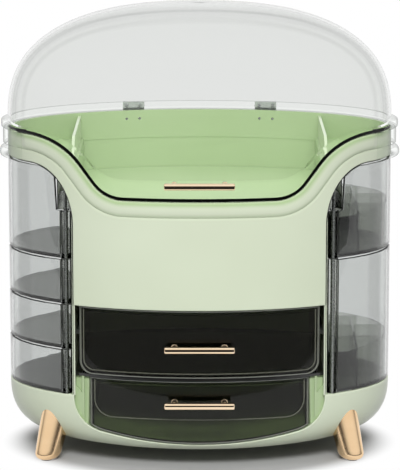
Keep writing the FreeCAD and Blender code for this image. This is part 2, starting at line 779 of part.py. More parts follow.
def guides(inner_x, outer_x, z):
    strips = []
    for side in (-1, 1):
        strips.append(box(side * inner_x, side * outer_x, guide_front_y, guide_rear_y,
                          z, z + guide_height))
    return Part.makeCompound(strips)


# ---- swinging trays -----------------------------------------------------------------------------
def post(side):
    foot_end = Vector(side * post_x, post_y, base_rim_z - panel_wall)
    return rod(foot_end, Vector(side * post_x, post_y, wing_floor_z - 1.0), post_radius)


barrel_top_z = arch_spring_z + 12.0   # the highest barrel stops under the arch's springing


def around_post(radius, z0, z1):
    return rod(Vector(post_x, post_y, z0), Vector(post_x, post_y, z1), radius)


def tray_plan(inset, wall_x):
    # the plan of one side's trays, right side, drawn in by this much
    reach = box(cabinet_half_width + swing_gap + wall_x, FAR, post_y - barrel_radius, FAR, 0, FAR)
    corner = box(0, post_x, -FAR, post_y, 0, FAR)
    return reach.cut(corner).common(oval(inset, 0, FAR))


def clear_of_bearing(shape, z1):
    # above the barrels a tray stays outside the fixed bearing block
    if z1 <= barrel_top_z:
        return shape
    return shape.cut(around_post(bearing_radius + bearing_gap, barrel_top_z, FAR))


def under_arch(shape):
    return shape.common(bay(arch_gap))


def swing_tray(z0, z1):
    # floor, inner side wall and barrel in one dark moulding
    low = z0 + tier_gap / 2
    high = z1 - tier_gap / 2
    slab = box(0, FAR, -FAR, FAR, low, low + tray_floor)
    floor = tray_plan(clear_wall, 0).common(slab)
    flat = box(0, FAR, -FAR, FAR, low, high)
    side_wall = tray_plan(clear_wall, 0).cut(tray_plan(clear_wall, tray_wall)).common(flat)
    side_wall = side_wall.cut(box(0, FAR, -FAR, post_y, 0, FAR))
    side_wall = side_wall.common(box(0, cabinet_half_width + swing_gap + tray_wall, -FAR, FAR, 0, FAR))
    barrel_high = min(high, barrel_top_z - tier_gap / 2)
    barrel = around_post(barrel_radius, low, barrel_high)
    tray = fuse([floor, side_wall, barrel])
    if high > barrel_top_z:
        slope = through_side([(post_y, barrel_top_z), (post_y + slope_run, high), (post_y, high)])
        tray = tray.cut(slope)
    tray = clear_of_bearing(tray, high)
    bore = around_post(post_radius + bore_clearance, 0, FAR)
    return solid_of(under_arch(tray.cut(bore)))


def through_side(corners):
    points = [Vector(0, y, z) for y, z in corners]
    return Part.Face(Part.Wire(polygon(points))).extrude(Vector(FAR, 0, 0))


def swing_window(z0, z1):
    # the clear wall that follows the body's oval from the barrel to the back
    low = z0 + tier_gap / 2
    high = z1 - tier_gap / 2
    skin = tray_plan(0, 0).cut(oval(clear_wall, 0, FAR))
    skin = skin.common(box(0, FAR, -FAR, FAR, low, high))
    skin = skin.cut(around_post(barrel_radius, 0, FAR))
    skin = under_arch(clear_of_bearing(skin, high))
    return max(skin.Solids, key=lambda part: part.Volume)


def bearing_block():
    # dark block fixed over the highest barrel, under the fascia's arch; it holds the post's top
    block = around_post(bearing_radius, barrel_top_z + bearing_gap, bay_top_z)
    block = block.common(oval(shell_wall, 0, FAR))
    block = block.cut(box(0, cabinet_half_width, -FAR, FAR, 0, FAR))
    return solid_of(block.cut(post(1)))


def washers(levels):
    rings = []
    for z in levels:
        low = z - washer_thickness / 2
        washer = around_post(washer_radius, low, low + washer_thickness)
        rings.append(washer.cut(post(1)))
    return rings


def rack(z0):
    # lipstick rack: a low liner with one long spine and three cross walls
    low = z0 + tier_gap / 2 + tray_floor
    high = low + rack_height
    flat = box(0, FAR, -FAR, FAR, low, high)
    region = tray_plan(clear_wall + rack_gap, tray_wall + rack_gap)
    region = region.cut(box(0, FAR, -FAR, post_y + barrel_radius + rack_gap, 0, FAR))
    core = tray_plan(clear_wall + rack_gap + rack_wall, tray_wall + rack_gap + rack_wall)
    core = core.cut(box(0, FAR, -FAR, post_y + barrel_radius + rack_gap + rack_wall, 0, FAR))
    liner = region.cut(core).common(flat)
    spine = box(rack_spine_x, rack_spine_x + rack_wall, -FAR, FAR, low, high)
    walls = [spine] + [box(0, FAR, y, y + rack_wall, low, high) for y in rack_crosses]
    cross = fuse(walls).common(region)
    top = through_side([(post_y, high - rack_height * 0.2), (0, high), (0, high + 1), (post_y, high + 1)])
    return solid_of(fuse([liner, cross]).cut(top))


# ---- build --------------------------------------------------------------------------------------
pieces = {}

pieces["base_bowl"] = base_bowl()
pieces["base_deck"] = base_deck()
pieces["drawer_housing"] = drawer_housing()
for place, (side, end) in foot_places.items():
    pieces[place + "_foot"] = foot(side, end)
pieces["foot_pads"] = Part.makeCompound([foot_pad(*where) for where in foot_places.values()])
pieces["foot_screws"] = Part.makeCompound([foot_screw(*where) for where in foot_places.values()])

pieces["cabinet_left_wall"] = cabinet_wall(-1)
pieces["cabinet_right_wall"] = cabinet_wall(1)
pieces["cabinet_back"] = cabinet_back()
pieces["drawer_shelf"] = cabinet_plate(shelf_bottom_z, shelf_top_z, jamb_inset)
pieces["bay_ceiling"] = cabinet_plate(fascia_bottom_z, fascia_bottom_z + panel_wall, shell_wall)
pieces["front_fascia"] = front_fascia()
pieces["rear_band"] = rear_band()
pieces["clear_collar"] = clear_collar()
pieces["top_tray"] = top_tray()
pieces["left_partition"] = partition(-1)
pieces["right_partition"] = partition(1)

pieces["lid_dome"] = lid_dome()
pieces["lid_handle"] = handle(lid_handle_z, 0)
pieces["lid_handle_screws"] = handle_screws(lid_handle_z, 0, clear_wall)
for name, x in (("left", -hinge_x), ("right", hinge_x)):
    pieces[name + "_hinge_body_leaf"] = hinge_leaf(x, False)
    pieces[name + "_hinge_lid_leaf"] = hinge_leaf(x, True)
pieces["hinge_pins"] = hinge_pins()
pieces["hinge_body_screws"] = Part.makeCompound(body_screws())
pieces["hinge_lid_screws"] = Part.makeCompound(lid_screws())

pieces["upper_drawer_front"] = upper_drawer_front()
pieces["upper_drawer_box"] = upper_drawer_box()
pieces["upper_drawer_handle"] = handle(upper_handle_z, upper_front_inset)
pieces["upper_drawer_screws"] = handle_screws(upper_handle_z, upper_front_inset, panel_wall)
pieces["upper_drawer_guides"] = guides(upper_box_half_width + drawer_run_gap, cabinet_inner_x,
                                       shelf_top_z + upper_bay_height / 2)
pieces["lower_drawer_front"] = lower_drawer_front()
pieces["lower_drawer_box"] = lower_drawer_box()
pieces["lower_drawer_handle"] = handle(lower_handle_z, lower_front_inset)
pieces["lower_drawer_screws"] = handle_screws(lower_handle_z, lower_front_inset, panel_wall)
pieces["lower_drawer_guides"] = guides(lower_box_half_width + drawer_run_gap, housing_half_width,
                                       base_rim_z)

pieces["left_post"] = post(-1)
pieces["right_post"] = post(1)
block = bearing_block()
pieces["left_bearing_block"] = mirrored(block)
pieces["right_bearing_block"] = block
left_washers = [mirrored(w) for w in washers(tier_levels[1:])]
pieces["post_washers"] = Part.makeCompound(left_washers + washers(tier_levels[-1:]))

left_levels = tier_levels + [bay_top_z]
for number, low in enumerate(range(low_tier_count, -1, -1), 1):
    z0, z1 = left_levels[low], left_levels[low + 1]
    pieces["left_tray_%d" % number] = mirrored(swing_tray(z0, z1))
    pieces["left_window_%d" % number] = mirrored(swing_window(z0, z1))
right_levels = [base_rim_z, tier_levels[-1], bay_top_z]
for name, z0, z1 in (("lower", right_levels[0], right_levels[1]), ("upper", right_levels[1], right_levels[2])):
    pieces[name + "_right_bin"] = swing_tray(z0, z1)
    pieces[name + "_right_window"] = swing_window(z0, z1)
    pieces[name + "_right_rack"] = rack(z0)

os.makedirs("parts", exist_ok=True)
for name, shape in pieces.items():
    shape.exportStep("parts/%s.step" % name)
    corners = shape.BoundBox
    print("%-22s solids %d volume %.0f  x %.1f..%.1f y %.1f..%.1f z %.1f..%.1f %s" % (
        name, len(shape.Solids), shape.Volume, corners.XMin, corners.XMax, corners.YMin,
        corners.YMax, corners.ZMin, corners.ZMax, "" if shape.isValid() else "NOT VALID"))
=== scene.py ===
from math import acos, asin, atan2, ceil, copysign, cos, pi, radians, sin, sqrt, tan

import bmesh
import bpy
import numpy as np
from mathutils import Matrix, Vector, geometry


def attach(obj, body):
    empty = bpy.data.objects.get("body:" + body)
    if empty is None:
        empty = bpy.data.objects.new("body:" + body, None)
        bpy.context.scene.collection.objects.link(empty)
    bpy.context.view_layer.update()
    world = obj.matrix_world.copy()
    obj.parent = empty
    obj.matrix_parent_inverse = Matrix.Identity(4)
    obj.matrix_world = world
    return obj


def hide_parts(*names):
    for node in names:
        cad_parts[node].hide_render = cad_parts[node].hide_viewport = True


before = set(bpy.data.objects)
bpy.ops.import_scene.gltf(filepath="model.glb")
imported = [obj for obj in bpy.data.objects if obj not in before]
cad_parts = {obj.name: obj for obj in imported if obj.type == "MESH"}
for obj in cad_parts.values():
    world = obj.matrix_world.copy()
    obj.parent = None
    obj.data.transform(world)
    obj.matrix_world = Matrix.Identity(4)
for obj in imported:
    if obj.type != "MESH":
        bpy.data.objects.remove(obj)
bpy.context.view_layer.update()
scene = bpy.context.scene
scene.view_settings.view_transform = "Standard"

mm = 0.001  # sizes are in millimetres, as in the part's source; meshes are made in metres
tinyGap = 1e-6

bodyPlan = {
    "halfWidth": 172.5,
    "halfDepth": 107.0,
    "shellWall": 3.0,
    "clearWall": 2.5,
    "rimLevel": 62.5,
    "fasciaBottom": 143.9,
    "upperFrontInset": 1.5,
    "lowerFrontInset": 5.0,
    "collarFront": -44.0,
    "wrapRun": 34.0,
    "wrapPower": 1.6,
}
halfWidth = bodyPlan["halfWidth"]
halfDepth = bodyPlan["halfDepth"]

sides = (-1, 1)  # left and right


# finishes: tones are written as they show, 0 to 255
def linear(r, g, b):
    def one(v):
        v = v / 255
        return v / 12.92 if v <= 0.04045 else ((v + 0.055) / 1.055) ** 2.4
    return (one(r), one(g), one(b), 1.0)


def feed(tree, node, inputs):
    # each input takes a plain value, or the socket that drives it
    for name, value in inputs.items():
        if isinstance(value, bpy.types.NodeSocket):
            tree.links.new(value, node.inputs[name])
        else:
            node.inputs[name].default_value = value


def addNode(tree, kind, inputs=None, **settings):
    node = tree.nodes.new("ShaderNode" + kind)
    for key, value in settings.items():
        setattr(node, key, value)
    feed(tree, node, inputs or {})
    return node


def ramped(tree, value, low, high, start, end):
    # from low to high while the value goes from start to end, eased at both ends
    node = addNode(tree, "MapRange", {"From Min": start, "From Max": end, "To Min": low, "To Max": high,
                                      "Value": value}, interpolation_type="SMOOTHSTEP")
    return node.outputs["Result"]


def mathOf(tree, operation, a, b=0.5):
    return addNode(tree, "Math", {0: a, 1: b}, operation=operation).outputs[0]


def mixedTone(tree, share, a, b):
    node = addNode(tree, "Mix", data_type="RGBA")
    feed(tree, node, {"Factor": share, "A": a, "B": b})
    return node.outputs["Result"]


def mixedShader(tree, share, a, b):
    return addNode(tree, "MixShader", {"Fac": share, 1: a, 2: b}).outputs["Shader"]


def newMaterial(name):
    material = bpy.data.materials.new(name)
    material.use_nodes = True
    tree = material.node_tree
    tree.nodes.clear()
    output = addNode(tree, "OutputMaterial")
    shader = addNode(tree, "BsdfPrincipled")
    feed(tree, output, {"Surface": shader.outputs["BSDF"]})
    return material, tree, shader, output


def addGrain(tree, shader, scale, depth, rough, spread, stretch=(1, 1, 1)):
    # one noise drives a slight change of roughness and a fine bump
    place = addNode(tree, "TexCoord")
    size = addNode(tree, "Mapping", {"Scale": stretch, "Vector": place.outputs["Object"]})
    noise = addNode(tree, "TexNoise", {"Scale": scale, "Detail": 4, "Vector": size.outputs["Vector"]})
    gloss = addNode(tree, "MapRange", {"To Min": max(0.0, rough - spread), "To Max": rough + spread,
                                       "Value": noise.outputs["Fac"]})
    bump = addNode(tree, "Bump", {"Distance": depth, "Strength": 1.0, "Height": noise.outputs["Fac"]})
    feed(tree, shader, {"Roughness": gloss.outputs["Result"], "Normal": bump.outputs["Normal"]})
    return size.outputs["Vector"]


def addTone(tree, shader, low, high, scale, spot):
    # colour drifts between two near tones
    noise = addNode(tree, "TexNoise", {"Scale": scale, "Detail": 2, "Vector": spot})
    ramp = addNode(tree, "ValToRGB", {"Fac": noise.outputs["Fac"]})
    for stop, share, tone in zip(ramp.color_ramp.elements, (0.3, 0.7), (low, high)):
        stop.position = share
        stop.color = linear(*tone)
    feed(tree, shader, {"Base Color": ramp.outputs["Color"]})
    return ramp.outputs["Color"]


plasticGrain = {"scale": 1300, "depth": 0.000006, "spread": 0.04, "drift": 9, "coatRough": 0.08}
clearGrain = {"scale": 60, "depth": 0.0000005, "edgeRough": 0.05, "edgeSpread": 0.02}
metalGrain = {"scale": 500, "depth": 0.000001, "spreadShare": 0.3, "drift": 12}


def solidPlastic(name, low, high, rough, coat=0.0, deep=None, shine=0.5):
    material, tree, shader, _ = newMaterial(name)
    grain = plasticGrain
    spot = addGrain(tree, shader, grain["scale"], grain["depth"], rough, grain["spread"])
    tone = addTone(tree, shader, low, high, grain["drift"], spot)
    feed(tree, shader, {"Coat Weight": coat, "Coat Roughness": grain["coatRough"],
                        "Specular IOR Level": shine})
    if deep:
        # painted shade: the darker tone that a mesh's per-point shade values draw in
        drawn = addNode(tree, "Attribute", attribute_name="beadPaintedShade").outputs["Fac"]
        feed(tree, shader, {"Base Color": mixedTone(tree, drawn, tone, linear(*deep))})
    return material


def facing(tree):
    # 0 where a wall faces the eye, 1 where it is seen edge-on
    return addNode(tree, "LayerWeight", {"Blend": 0.5}).outputs["Facing"]


def letLampsThrough(tree, output, surface, lampTint=(255, 255, 255)):
    # lamps reach through a clear wall, so what stands behind it stays lit
    through = addNode(tree, "BsdfTransparent", {"Color": linear(*lampTint)}).outputs["BSDF"]
    lampRay = addNode(tree, "LightPath").outputs["Is Shadow Ray"]
    feed(tree, output, {"Surface": mixedShader(tree, lampRay, surface, through)})


def clearPlastic(name, tint, lampTint, rough=0.02, ior=1.45, bands=(), wallTint=None):
    material, tree, shader, output = newMaterial(name)
    addGrain(tree, shader, clearGrain["scale"], clearGrain["depth"], rough, rough * 0.5)
    feed(tree, shader, {"Base Color": linear(*tint), "Transmission Weight": 1.0, "IOR": ior})
    if bands:
        # painted reflection: pale and grey bands are drawn in as a curved clear wall turns away
        ramp = addNode(tree, "ValToRGB", {"Fac": facing(tree)})
        ramp.color_ramp.interpolation = "EASE"
        stops = ramp.color_ramp.elements
        for i, (share, tone) in enumerate(bands):
            stop = stops[i] if i < 2 else stops.new(share)
            stop.position = share
            stop.color = linear(*[tone * c / 255 for c in tint])
        feed(tree, shader, {"Base Color": ramp.outputs["Color"]})
    if wallTint:
        # upright walls are tinted paler than floors, by the way each face points
        normal = addNode(tree, "NewGeometry").outputs["Normal"]
        up = addNode(tree, "SeparateXYZ", {"Vector": normal}).outputs["Z"]
        level = mathOf(tree, "ABSOLUTE", up)
        feed(tree, shader, {"Base Color": mixedTone(tree, level, linear(*wallTint), linear(*tint))})
    letLampsThrough(tree, output, shader.outputs["BSDF"], lampTint)
    return material


def clearEdge(name, tint, line, start, most=0.75):
    # thick clear moulding: pale where it faces the eye, with grey outlines of painted shade as it turns away
    material, tree, shader, output = newMaterial(name)
    grain = clearGrain
    addGrain(tree, shader, grain["scale"], grain["depth"], grain["edgeRough"], grain["edgeSpread"])
    feed(tree, shader, {"Base Color": linear(*line), "Specular IOR Level": 0.2})
    through = addNode(tree, "BsdfTransparent", {"Color": linear(*tint)}).outputs["BSDF"]
    share = ramped(tree, facing(tree), 0.0, most, start, 1.0)
    letLampsThrough(tree, output, mixedShader(tree, share, through, shader.outputs["BSDF"]))
    return material


def metal(name, low, high, rough, brush=(1, 1, 1)):
    material, tree, shader, _ = newMaterial(name)
    grain = metalGrain
    spot = addGrain(tree, shader, grain["scale"], grain["depth"], rough, rough * grain["spreadShare"], brush)
    addTone(tree, shader, low, high, grain["drift"], spot)
    feed(tree, shader, {"Metallic": 1.0})
    return material


# the third tone is painted shade along the bead's flanks
greenShell = solidPlastic("greenShell", (204, 213, 189), (209, 218, 195), 0.36, 0.2, (166, 188, 142))
# painted shade: a darker copy of the green for inner and recessed parts
greenInPaintedShade = solidPlastic("greenInPaintedShade", (166, 186, 144), (173, 192, 152), 0.36, 0.2)
greenPanel = solidPlastic("greenPanel", (192, 206, 174), (200, 213, 183), 0.28, 0.3)
goldTrim = metal("goldTrim", (238, 202, 158), (243, 210, 168), 0.17, (1, 1, 5))
goldBar = metal("goldBar", (246, 220, 186), (250, 226, 194), 0.04, (1, 1, 5))
steel = metal("steel", (180, 182, 184), (196, 197, 199), 0.26)
clearRim = clearEdge("clearRim", (252, 253, 252), (100, 104, 101), 0.66)

# painted reflection bands: each gives the share turned away and the tone there
lidBands = ((0.0, 253), (0.4, 252), (0.46, 241), (0.52, 251), (0.6, 248), (0.645, 226), (0.7, 246),
            (0.84, 252), (0.93, 225), (1.0, 60))
windowBands = ((0.0, 253), (0.36, 250), (0.42, 232), (0.55, 228), (0.6, 255), (0.74, 255), (0.8, 150),
               (1.0, 110))
clearLid = clearPlastic("clearLid", (242, 243, 242), (246, 247, 246), ior=1.1, bands=lidBands)
clearWindow = clearPlastic("clearWindow", (226, 228, 227), (238, 240, 238), bands=windowBands)
smokeTray = clearPlastic("smokeTray", (112, 114, 110), (180, 180, 176), ior=1.16, wallTint=(196, 198, 194))
smokeRack = clearPlastic("smokeRack", (168, 170, 166), (226, 227, 224), ior=1.16, wallTint=(214, 216, 212))
smokeFront = clearPlastic("smokeFront", (208, 208, 200), (244, 244, 240), ior=1.25)
smokeTub = clearPlastic("smokeTub", (222, 223, 216), (240, 240, 236), ior=1.2)
smokeBin = clearPlastic("smokeBin", (222, 226, 214), (244, 246, 240), ior=1.2)
# painted shade: dark tint for the side windows' level edges
windowEdgeShade = clearPlastic("windowEdgeShade", (40, 42, 40), (130, 130, 128))
# painted shade: near-black for the seam line along the lid's foot
seamShadeBlack = solidPlastic("seamShadeBlack", (3, 4, 3), (6, 7, 6), 0.35, shine=0.12)
# painted highlight: mid grey for the drawer fronts' edges and the tub lines
edgeHighlightGrey = solidPlastic("edgeHighlightGrey", (112, 115, 108), (122, 125, 118), 0.16, 0.6)
# painted shade: near-black for the drawer shelf, the bay ceiling and the arch strip
shadeBlack = solidPlastic("shadeBlack", (24, 25, 24), (32, 33, 31), 0.2, 0.4)
hingeMetal = solidPlastic("hingeMetal", (190, 193, 190), (200, 203, 200), 0.25, 0.4)
footRubber = solidPlastic("footRubber", (38, 38, 38), (48, 48, 48), 0.8)
slidePlastic = solidPlastic("slidePlastic", (70, 72, 69), (78, 80, 77), 0.5)
print("finishes ready")

# the body is an oval: a turn from its front middle is tabled against the run along its wall
turnTable = np.linspace(0, pi, 3601)
speed = np.hypot(halfWidth * np.cos(turnTable), halfDepth * np.sin(turnTable))
runTable = np.concatenate([[0], np.cumsum((speed[1:] + speed[:-1]) / 2 * np.diff(turnTable))])


def runAt(turn):
    return np.sign(turn) * np.interp(abs(turn), turnTable, runTable)


def turnAt(run):
    return np.sign(run) * np.interp(abs(run), runTable, turnTable)


def onOval(turn, inset, level):
    return Vector(((halfWidth - inset) * sin(turn), -(halfDepth - inset) * cos(turn), level)) * mm


def ovalPlace(inset):
    # lays a plate's outline, drawn as run and level, on the oval
    def place(u, v, depth):
        return onOval(turnAt(u), inset + depth, v)
    return place


def runOfX(x, inset=0.0):
    return float(runAt(asin(max(-1.0, min(1.0, x / (halfWidth - inset))))))


def rearRunOfX(x):
    return float(runAt(pi - asin(x / halfWidth)))


def mirrored(points):
    # the left half of an outline from its right half, in turning order
    return [Vector((-p.x, p.y)) for p in reversed(points)]


def finishMesh(name, verts, faces, body, materials, replaces=(), tags=None, weld=0.0, tones=None):
    mesh = bpy.data.meshes.new(name)
    mesh.from_pydata(verts, [], faces)
    for material in materials:
        mesh.materials.append(material)
    if tags is not None:
        mesh.polygons.foreach_set("material_index", tags)
    if tones is not None:
        mesh.attributes.new("beadPaintedShade", "FLOAT", "POINT").data.foreach_set("value", tones)
    work = bmesh.new()
    work.from_mesh(mesh)
    if weld:
        bmesh.ops.remove_doubles(work, verts=work.verts, dist=weld)
    bmesh.ops.recalc_face_normals(work, faces=work.faces)
    for face in work.faces:
        face.smooth = True
    work.to_mesh(mesh)
    work.free()
    piece = bpy.data.objects.new(name, mesh)
    bpy.context.collection.objects.link(piece)
    even = piece.modifiers.new("evenShade", "WEIGHTED_NORMAL")
    even.keep_sharp = True
    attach(piece, body)
    if replaces:
        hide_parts(*replaces)
    return piece


def resample(points, spacing, closed=True):
    points = [Vector(p) for p in points]
    pairs = list(zip(points, points[1:] + points[:1])) if closed else list(zip(points, points[1:]))
    out = []
    for a, b in pairs:
        gap = (b - a).length
        if gap < tinyGap:
            continue
        count = max(1, ceil(gap / spacing))
        out += [a.lerp(b, i / count) for i in range(count)]
    if not closed:
        out.append(points[-1])
    return out


def areaOf(loop):
    return sum(a.x * b.y - b.x * a.y for a, b in zip(loop, loop[1:] + loop[:1])) / 2


def drawnIn(loop, gap, openSide=None):
    # the loop moved square to itself, towards the material on its left; open sides stay on their line,
    # and the least shares keep the move short at a sharp corner
    leastShare, leastSum = 0.3, 0.35
    out = []
    count = len(loop)
    for i, p in enumerate(loop):
        before, after = (openSide[i - 1], openSide[i]) if openSide else (False, False)
        a = (p - loop[i - 1]).normalized()
        b = (loop[(i + 1) % count] - p).normalized()
        na, nb = Vector((-a.y, a.x)), Vector((-b.y, b.x))
        if before and after:
            out.append(p.copy())
        elif after:
            out.append(p + b * (gap / max(leastShare, b.dot(na))))
        elif before:
            out.append(p - a * (gap / max(leastShare, -a.dot(nb))))
        else:
            out.append(p + (na + nb) * (gap / max(leastSum, 1 + na.dot(nb))))
    return out


def insideOf(points, loop):
    # which points lie inside the loop, by crossings
    xs = np.array([p.x for p in loop])
    ys = np.array([p.y for p in loop])
    xe, ye = np.roll(xs, -1), np.roll(ys, -1)
    px, py = points[:, 0:1], points[:, 1:2]
    spans = (ys > py) != (ye > py)
    with np.errstate(divide="ignore", invalid="ignore"):
        cross = (xe - xs) * (py - ys) / (ye - ys) + xs
    return (spans & (px < cross)).sum(axis=1) % 2 == 1


def farFrom(points, segments, gap):
    # which points keep this far from all segments, a few hundred at a time
    keep = np.ones(len(points), bool)
    batch = 400
    a = np.array([[s[0].x, s[0].y] for s in segments])
    b = np.array([[s[1].x, s[1].y] for s in segments])
    d = b - a
    size = np.maximum((d ** 2).sum(axis=1), tinyGap ** 2)
    for start in range(0, len(points), batch):
        p = points[start:start + batch, None, :]
        t = np.clip(((p - a) * d).sum(axis=2) / size, 0, 1)
        near = np.sqrt((((a + t[..., None] * d) - p) ** 2).sum(axis=2)).min(axis=1)
        keep[start:start + batch] = near > gap
    return keep


gridClear = 0.45  # share of the spacing that the grid keeps from the loop and the lines
nearSame = 1e-5  # corners closer than this are one


def filled(loop, lines, spacing):
    # triangles inside the loop, along the lines and over an even grid
    points, edges = list(loop), [(i, (i + 1) % len(loop)) for i in range(len(loop))]
    for line in lines:
        first = len(points)
        points += line
        edges += [(first + i, first + i + 1) for i in range(len(line) - 1)]
    held = [(points[a], points[b]) for a, b in edges]
    us, vs = [p.x for p in loop], [p.y for p in loop]
    du, dv = spacing
    gu = np.arange(min(us) + du / 2, max(us), du)
    gv = np.arange(min(vs) + dv / 2, max(vs), dv)
    if len(gu) and len(gv):
        grid = np.array([(u + (du / 2 if j % 2 else 0), v) for j, v in enumerate(gv) for u in gu])
        grid = grid[insideOf(grid, loop)]
        if len(grid):
            grid = grid[farFrom(grid, held, min(du, dv) * gridClear)]
        points += [Vector((u, v)) for u, v in grid]
    verts, _, faces, ids, _, _ = geometry.delaunay_2d_cdt(points, edges, [], 1, nearSame)
    middles = np.array([[sum(verts[i].x for i in f) / len(f), sum(verts[i].y for i in f) / len(f)]
                        for f in faces])
    return [Vector(v) for v in verts], [f for f, k in zip(faces, insideOf(middles, loop)) if k], ids


def placesOf(ids):
    # where each corner of the loop went in the filled set
    return {old: new for new, olds in enumerate(ids) for old in olds}


edgeRows = 3


def edgeSteps(edge):
    # how far in and how deep each row of a rounded edge lies, from the outline to the flat
    turns = [pi / 2 * k / edgeRows for k in range(edgeRows)]
    return [(edge * (1 - cos(turn)), edge * (1 - sin(turn))) for turn in turns]


def plate(name, outline, place, thick, edge, spacing, body, materials, replaces=(),
          lines=(), wallTag=None, toneOf=None):
    # a wall with rounded edges, cut to the outline and laid where place puts it
    loop = resample(outline, max(spacing))
    if areaOf(loop) < 0:
        loop.reverse()
    count = len(loop)
    wallTags = [wallTag(p) if wallTag else 0 for p in loop]
    verts, faces, tags, tones = [], [], [], []

    def addFace(face, tag):
        faces.append(face)
        tags.append(tag)

    def addRow(points, depth):
        first = len(verts)
        verts.extend(place(p.x, p.y, depth) for p in points)
        tones.extend(toneOf(p) if toneOf and depth < thick / 2 else 0.0 for p in points)
        return first

    flat, triangles, ids = filled(drawnIn(loop, edge), lines, spacing)
    where = placesOf(ids)
    outer = []
    for back in (False, True):
        first = addRow(flat, thick if back else 0.0)
        for tri in triangles:
            addFace(tuple(first + i for i in (reversed(tri) if back else tri)), 0)
        rings = []
        for gap, drop in edgeSteps(edge):
            start = addRow(drawnIn(loop, gap), thick - drop if back else drop)
            rings.append(list(range(start, start + count)))
        rings.append([first + where[i] for i in range(count)])
        for low, high in zip(rings, rings[1:]):
            for i in range(count):
                j = (i + 1) % count
                quad = (low[i], low[j], high[j], high[i])
                addFace(quad[::-1] if back else quad, wallTags[i])
        outer.append(rings[0])
    for i in range(count):
        j = (i + 1) % count
        addFace((outer[0][j], outer[0][i], outer[1][i], outer[1][j]), wallTags[i])
    return finishMesh(name, verts, faces, body, materials, replaces, tags,
                      tones=tones if toneOf else None)


def ringFaces(rows, count):
    # faces between closed rings of points, with both ends closed
    faces = []
    for row in range(rows - 1):
        a, b = row * count, (row + 1) * count
        for i in range(count):
            j = (i + 1) % count
            faces.append((a + i, a + j, b + j, b + i))
    faces.append(tuple(reversed(range(count))))
    faces.append(tuple((rows - 1) * count + i for i in range(count)))
    return faces


def turned(profile, start, axis, count):
    # a closed turned body: radius and length pairs along the axis
    axis = Vector(axis).normalized()
    side = axis.orthogonal().normalized()
    other = axis.cross(side)
    verts = []
    for radius, length in profile:
        middle = Vector(start) + axis * length
        for i in range(count):
            turn = 2 * pi * i / count
            verts.append((middle + (side * cos(turn) + other * sin(turn)) * radius) * mm)
    return verts, ringFaces(len(profile), count)


def joined(parts):
    verts, faces = [], []
    for v, f in parts:
        shift = len(verts)
        verts += v
        faces += [tuple(shift + i for i in face) for face in f]
    return verts, faces


def swept(columns):
    # columns of points, each a closed section, joined side by side and closed at both ends
    count, rows = len(columns), len(columns[0])
    faces = []
    for c in range(count - 1):
        for r in range(rows):
            s = (r + 1) % rows
            faces.append((c * rows + r, (c + 1) * rows + r, (c + 1) * rows + s, c * rows + s))
    faces.append(tuple(range(rows)))
    faces.append(tuple(reversed(range((count - 1) * rows, count * rows))))
    return [p for column in columns for p in column], faces


# the wave along the fascia's top, which the lid's front edge follows
wave = {
    "sill": 240.3,
    "shoulder": 292.0,
    "sillHalf": 66.5,
    "sillRadius": 34.0,
    "shoulderRadius": 58.0,
    "steepest": radians(52),
}
waveBend = (wave["sillRadius"] + wave["shoulderRadius"]) * (1 - cos(wave["steepest"]))
waveSlope = (wave["shoulder"] - wave["sill"] - waveBend) / sin(wave["steepest"])
shoulderX = (wave["sillHalf"] + (wave["sillRadius"] + wave["shoulderRadius"]) * sin(wave["steepest"])
             + waveSlope * cos(wave["steepest"]))


def waveLevel(x, drop=0.0):
    # height of the wave at x, with the wave lowered square to itself by drop
    x = abs(x)
    steep = wave["steepest"]
    low, high = wave["sillRadius"] + drop, wave["shoulderRadius"] - drop
    lowX, highX = wave["sillHalf"] + low * sin(steep), shoulderX - high * sin(steep)
    if x <= wave["sillHalf"]:
        return wave["sill"] - drop
    if x <= lowX:
        return wave["sill"] + wave["sillRadius"] - sqrt(low ** 2 - (x - wave["sillHalf"]) ** 2)
    if x >= shoulderX:
        return wave["shoulder"] - drop
    if x >= highX:
        return wave["shoulder"] - wave["shoulderRadius"] + sqrt(high ** 2 - (shoulderX - x) ** 2)
    lowZ = wave["sill"] + wave["sillRadius"] - low * cos(steep)
    return lowZ + (x - lowX) * tan(steep)


def waveLine(drop, xEnd, count=150):
    # the wave from -xEnd to xEnd as run and level
    endTurn = asin(min(1.0, xEnd / halfWidth))
    line = []
    for i in range(count + 1):
        turn = endTurn * (2 * i / count - 1)
        line.append(Vector((float(runAt(turn)), waveLevel(halfWidth * sin(turn), drop))))
    return line


waveNear = np.array([[x, waveLevel(x)] for x in np.linspace(0, halfWidth, 700)])


def belowWave(u, v):
    # distance of a point under the wave's edge, measured in the front view
    x = abs(halfWidth * sin(turnAt(u)))
    return float(np.sqrt(((waveNear - (x, v)) ** 2).sum(axis=1)).min())


# the arch at each end of the fascia, round which the side windows reach
arch = {"spring": 111.5, "halfWide": 38.0, "high": 52.0, "springLevel": 215.5}
archCrownX = arch["spring"] + arch["halfWide"]
archCrownLevel = arch["springLevel"] + arch["high"]


def archPoints(gap=0.0, count=28):
    # from the springing up to the crown, right side, as x and level
    wide, high = arch["halfWide"] - gap, arch["high"] - gap
    turns = [pi / 2 * i / count for i in range(count + 1)]
    return [(archCrownX - wide * cos(turn), arch["springLevel"] + high * sin(turn)) for turn in turns]


fascia = {
    "beadWide": 13.8,
    "beadProud": 1.4,
    "beadPowers": (2.6, 0.8),
    "beadFade": 5.0,
    "grooveWide": 1.1,
    "grooveDeep": 0.5,
    "rows": (1.6, 2.4, 3.4, 4.6, 6.0, 8.0, 10.0, 11.6, 12.8, 13.5, 13.8, 14.35, 14.9, 16.5),
    "rowEnd": 162.0,
    # the flanks carry painted shade: the bead is drawn darker there
    "flanks": ((2.0, 3.4, 1.15), (13.0, 2.2, 0.45)),  # depth below the wave, reach and strength
    "plainHigh": 60.0,
    "edge": 0.9,
    "spacing": (5.0, 6.0),
}


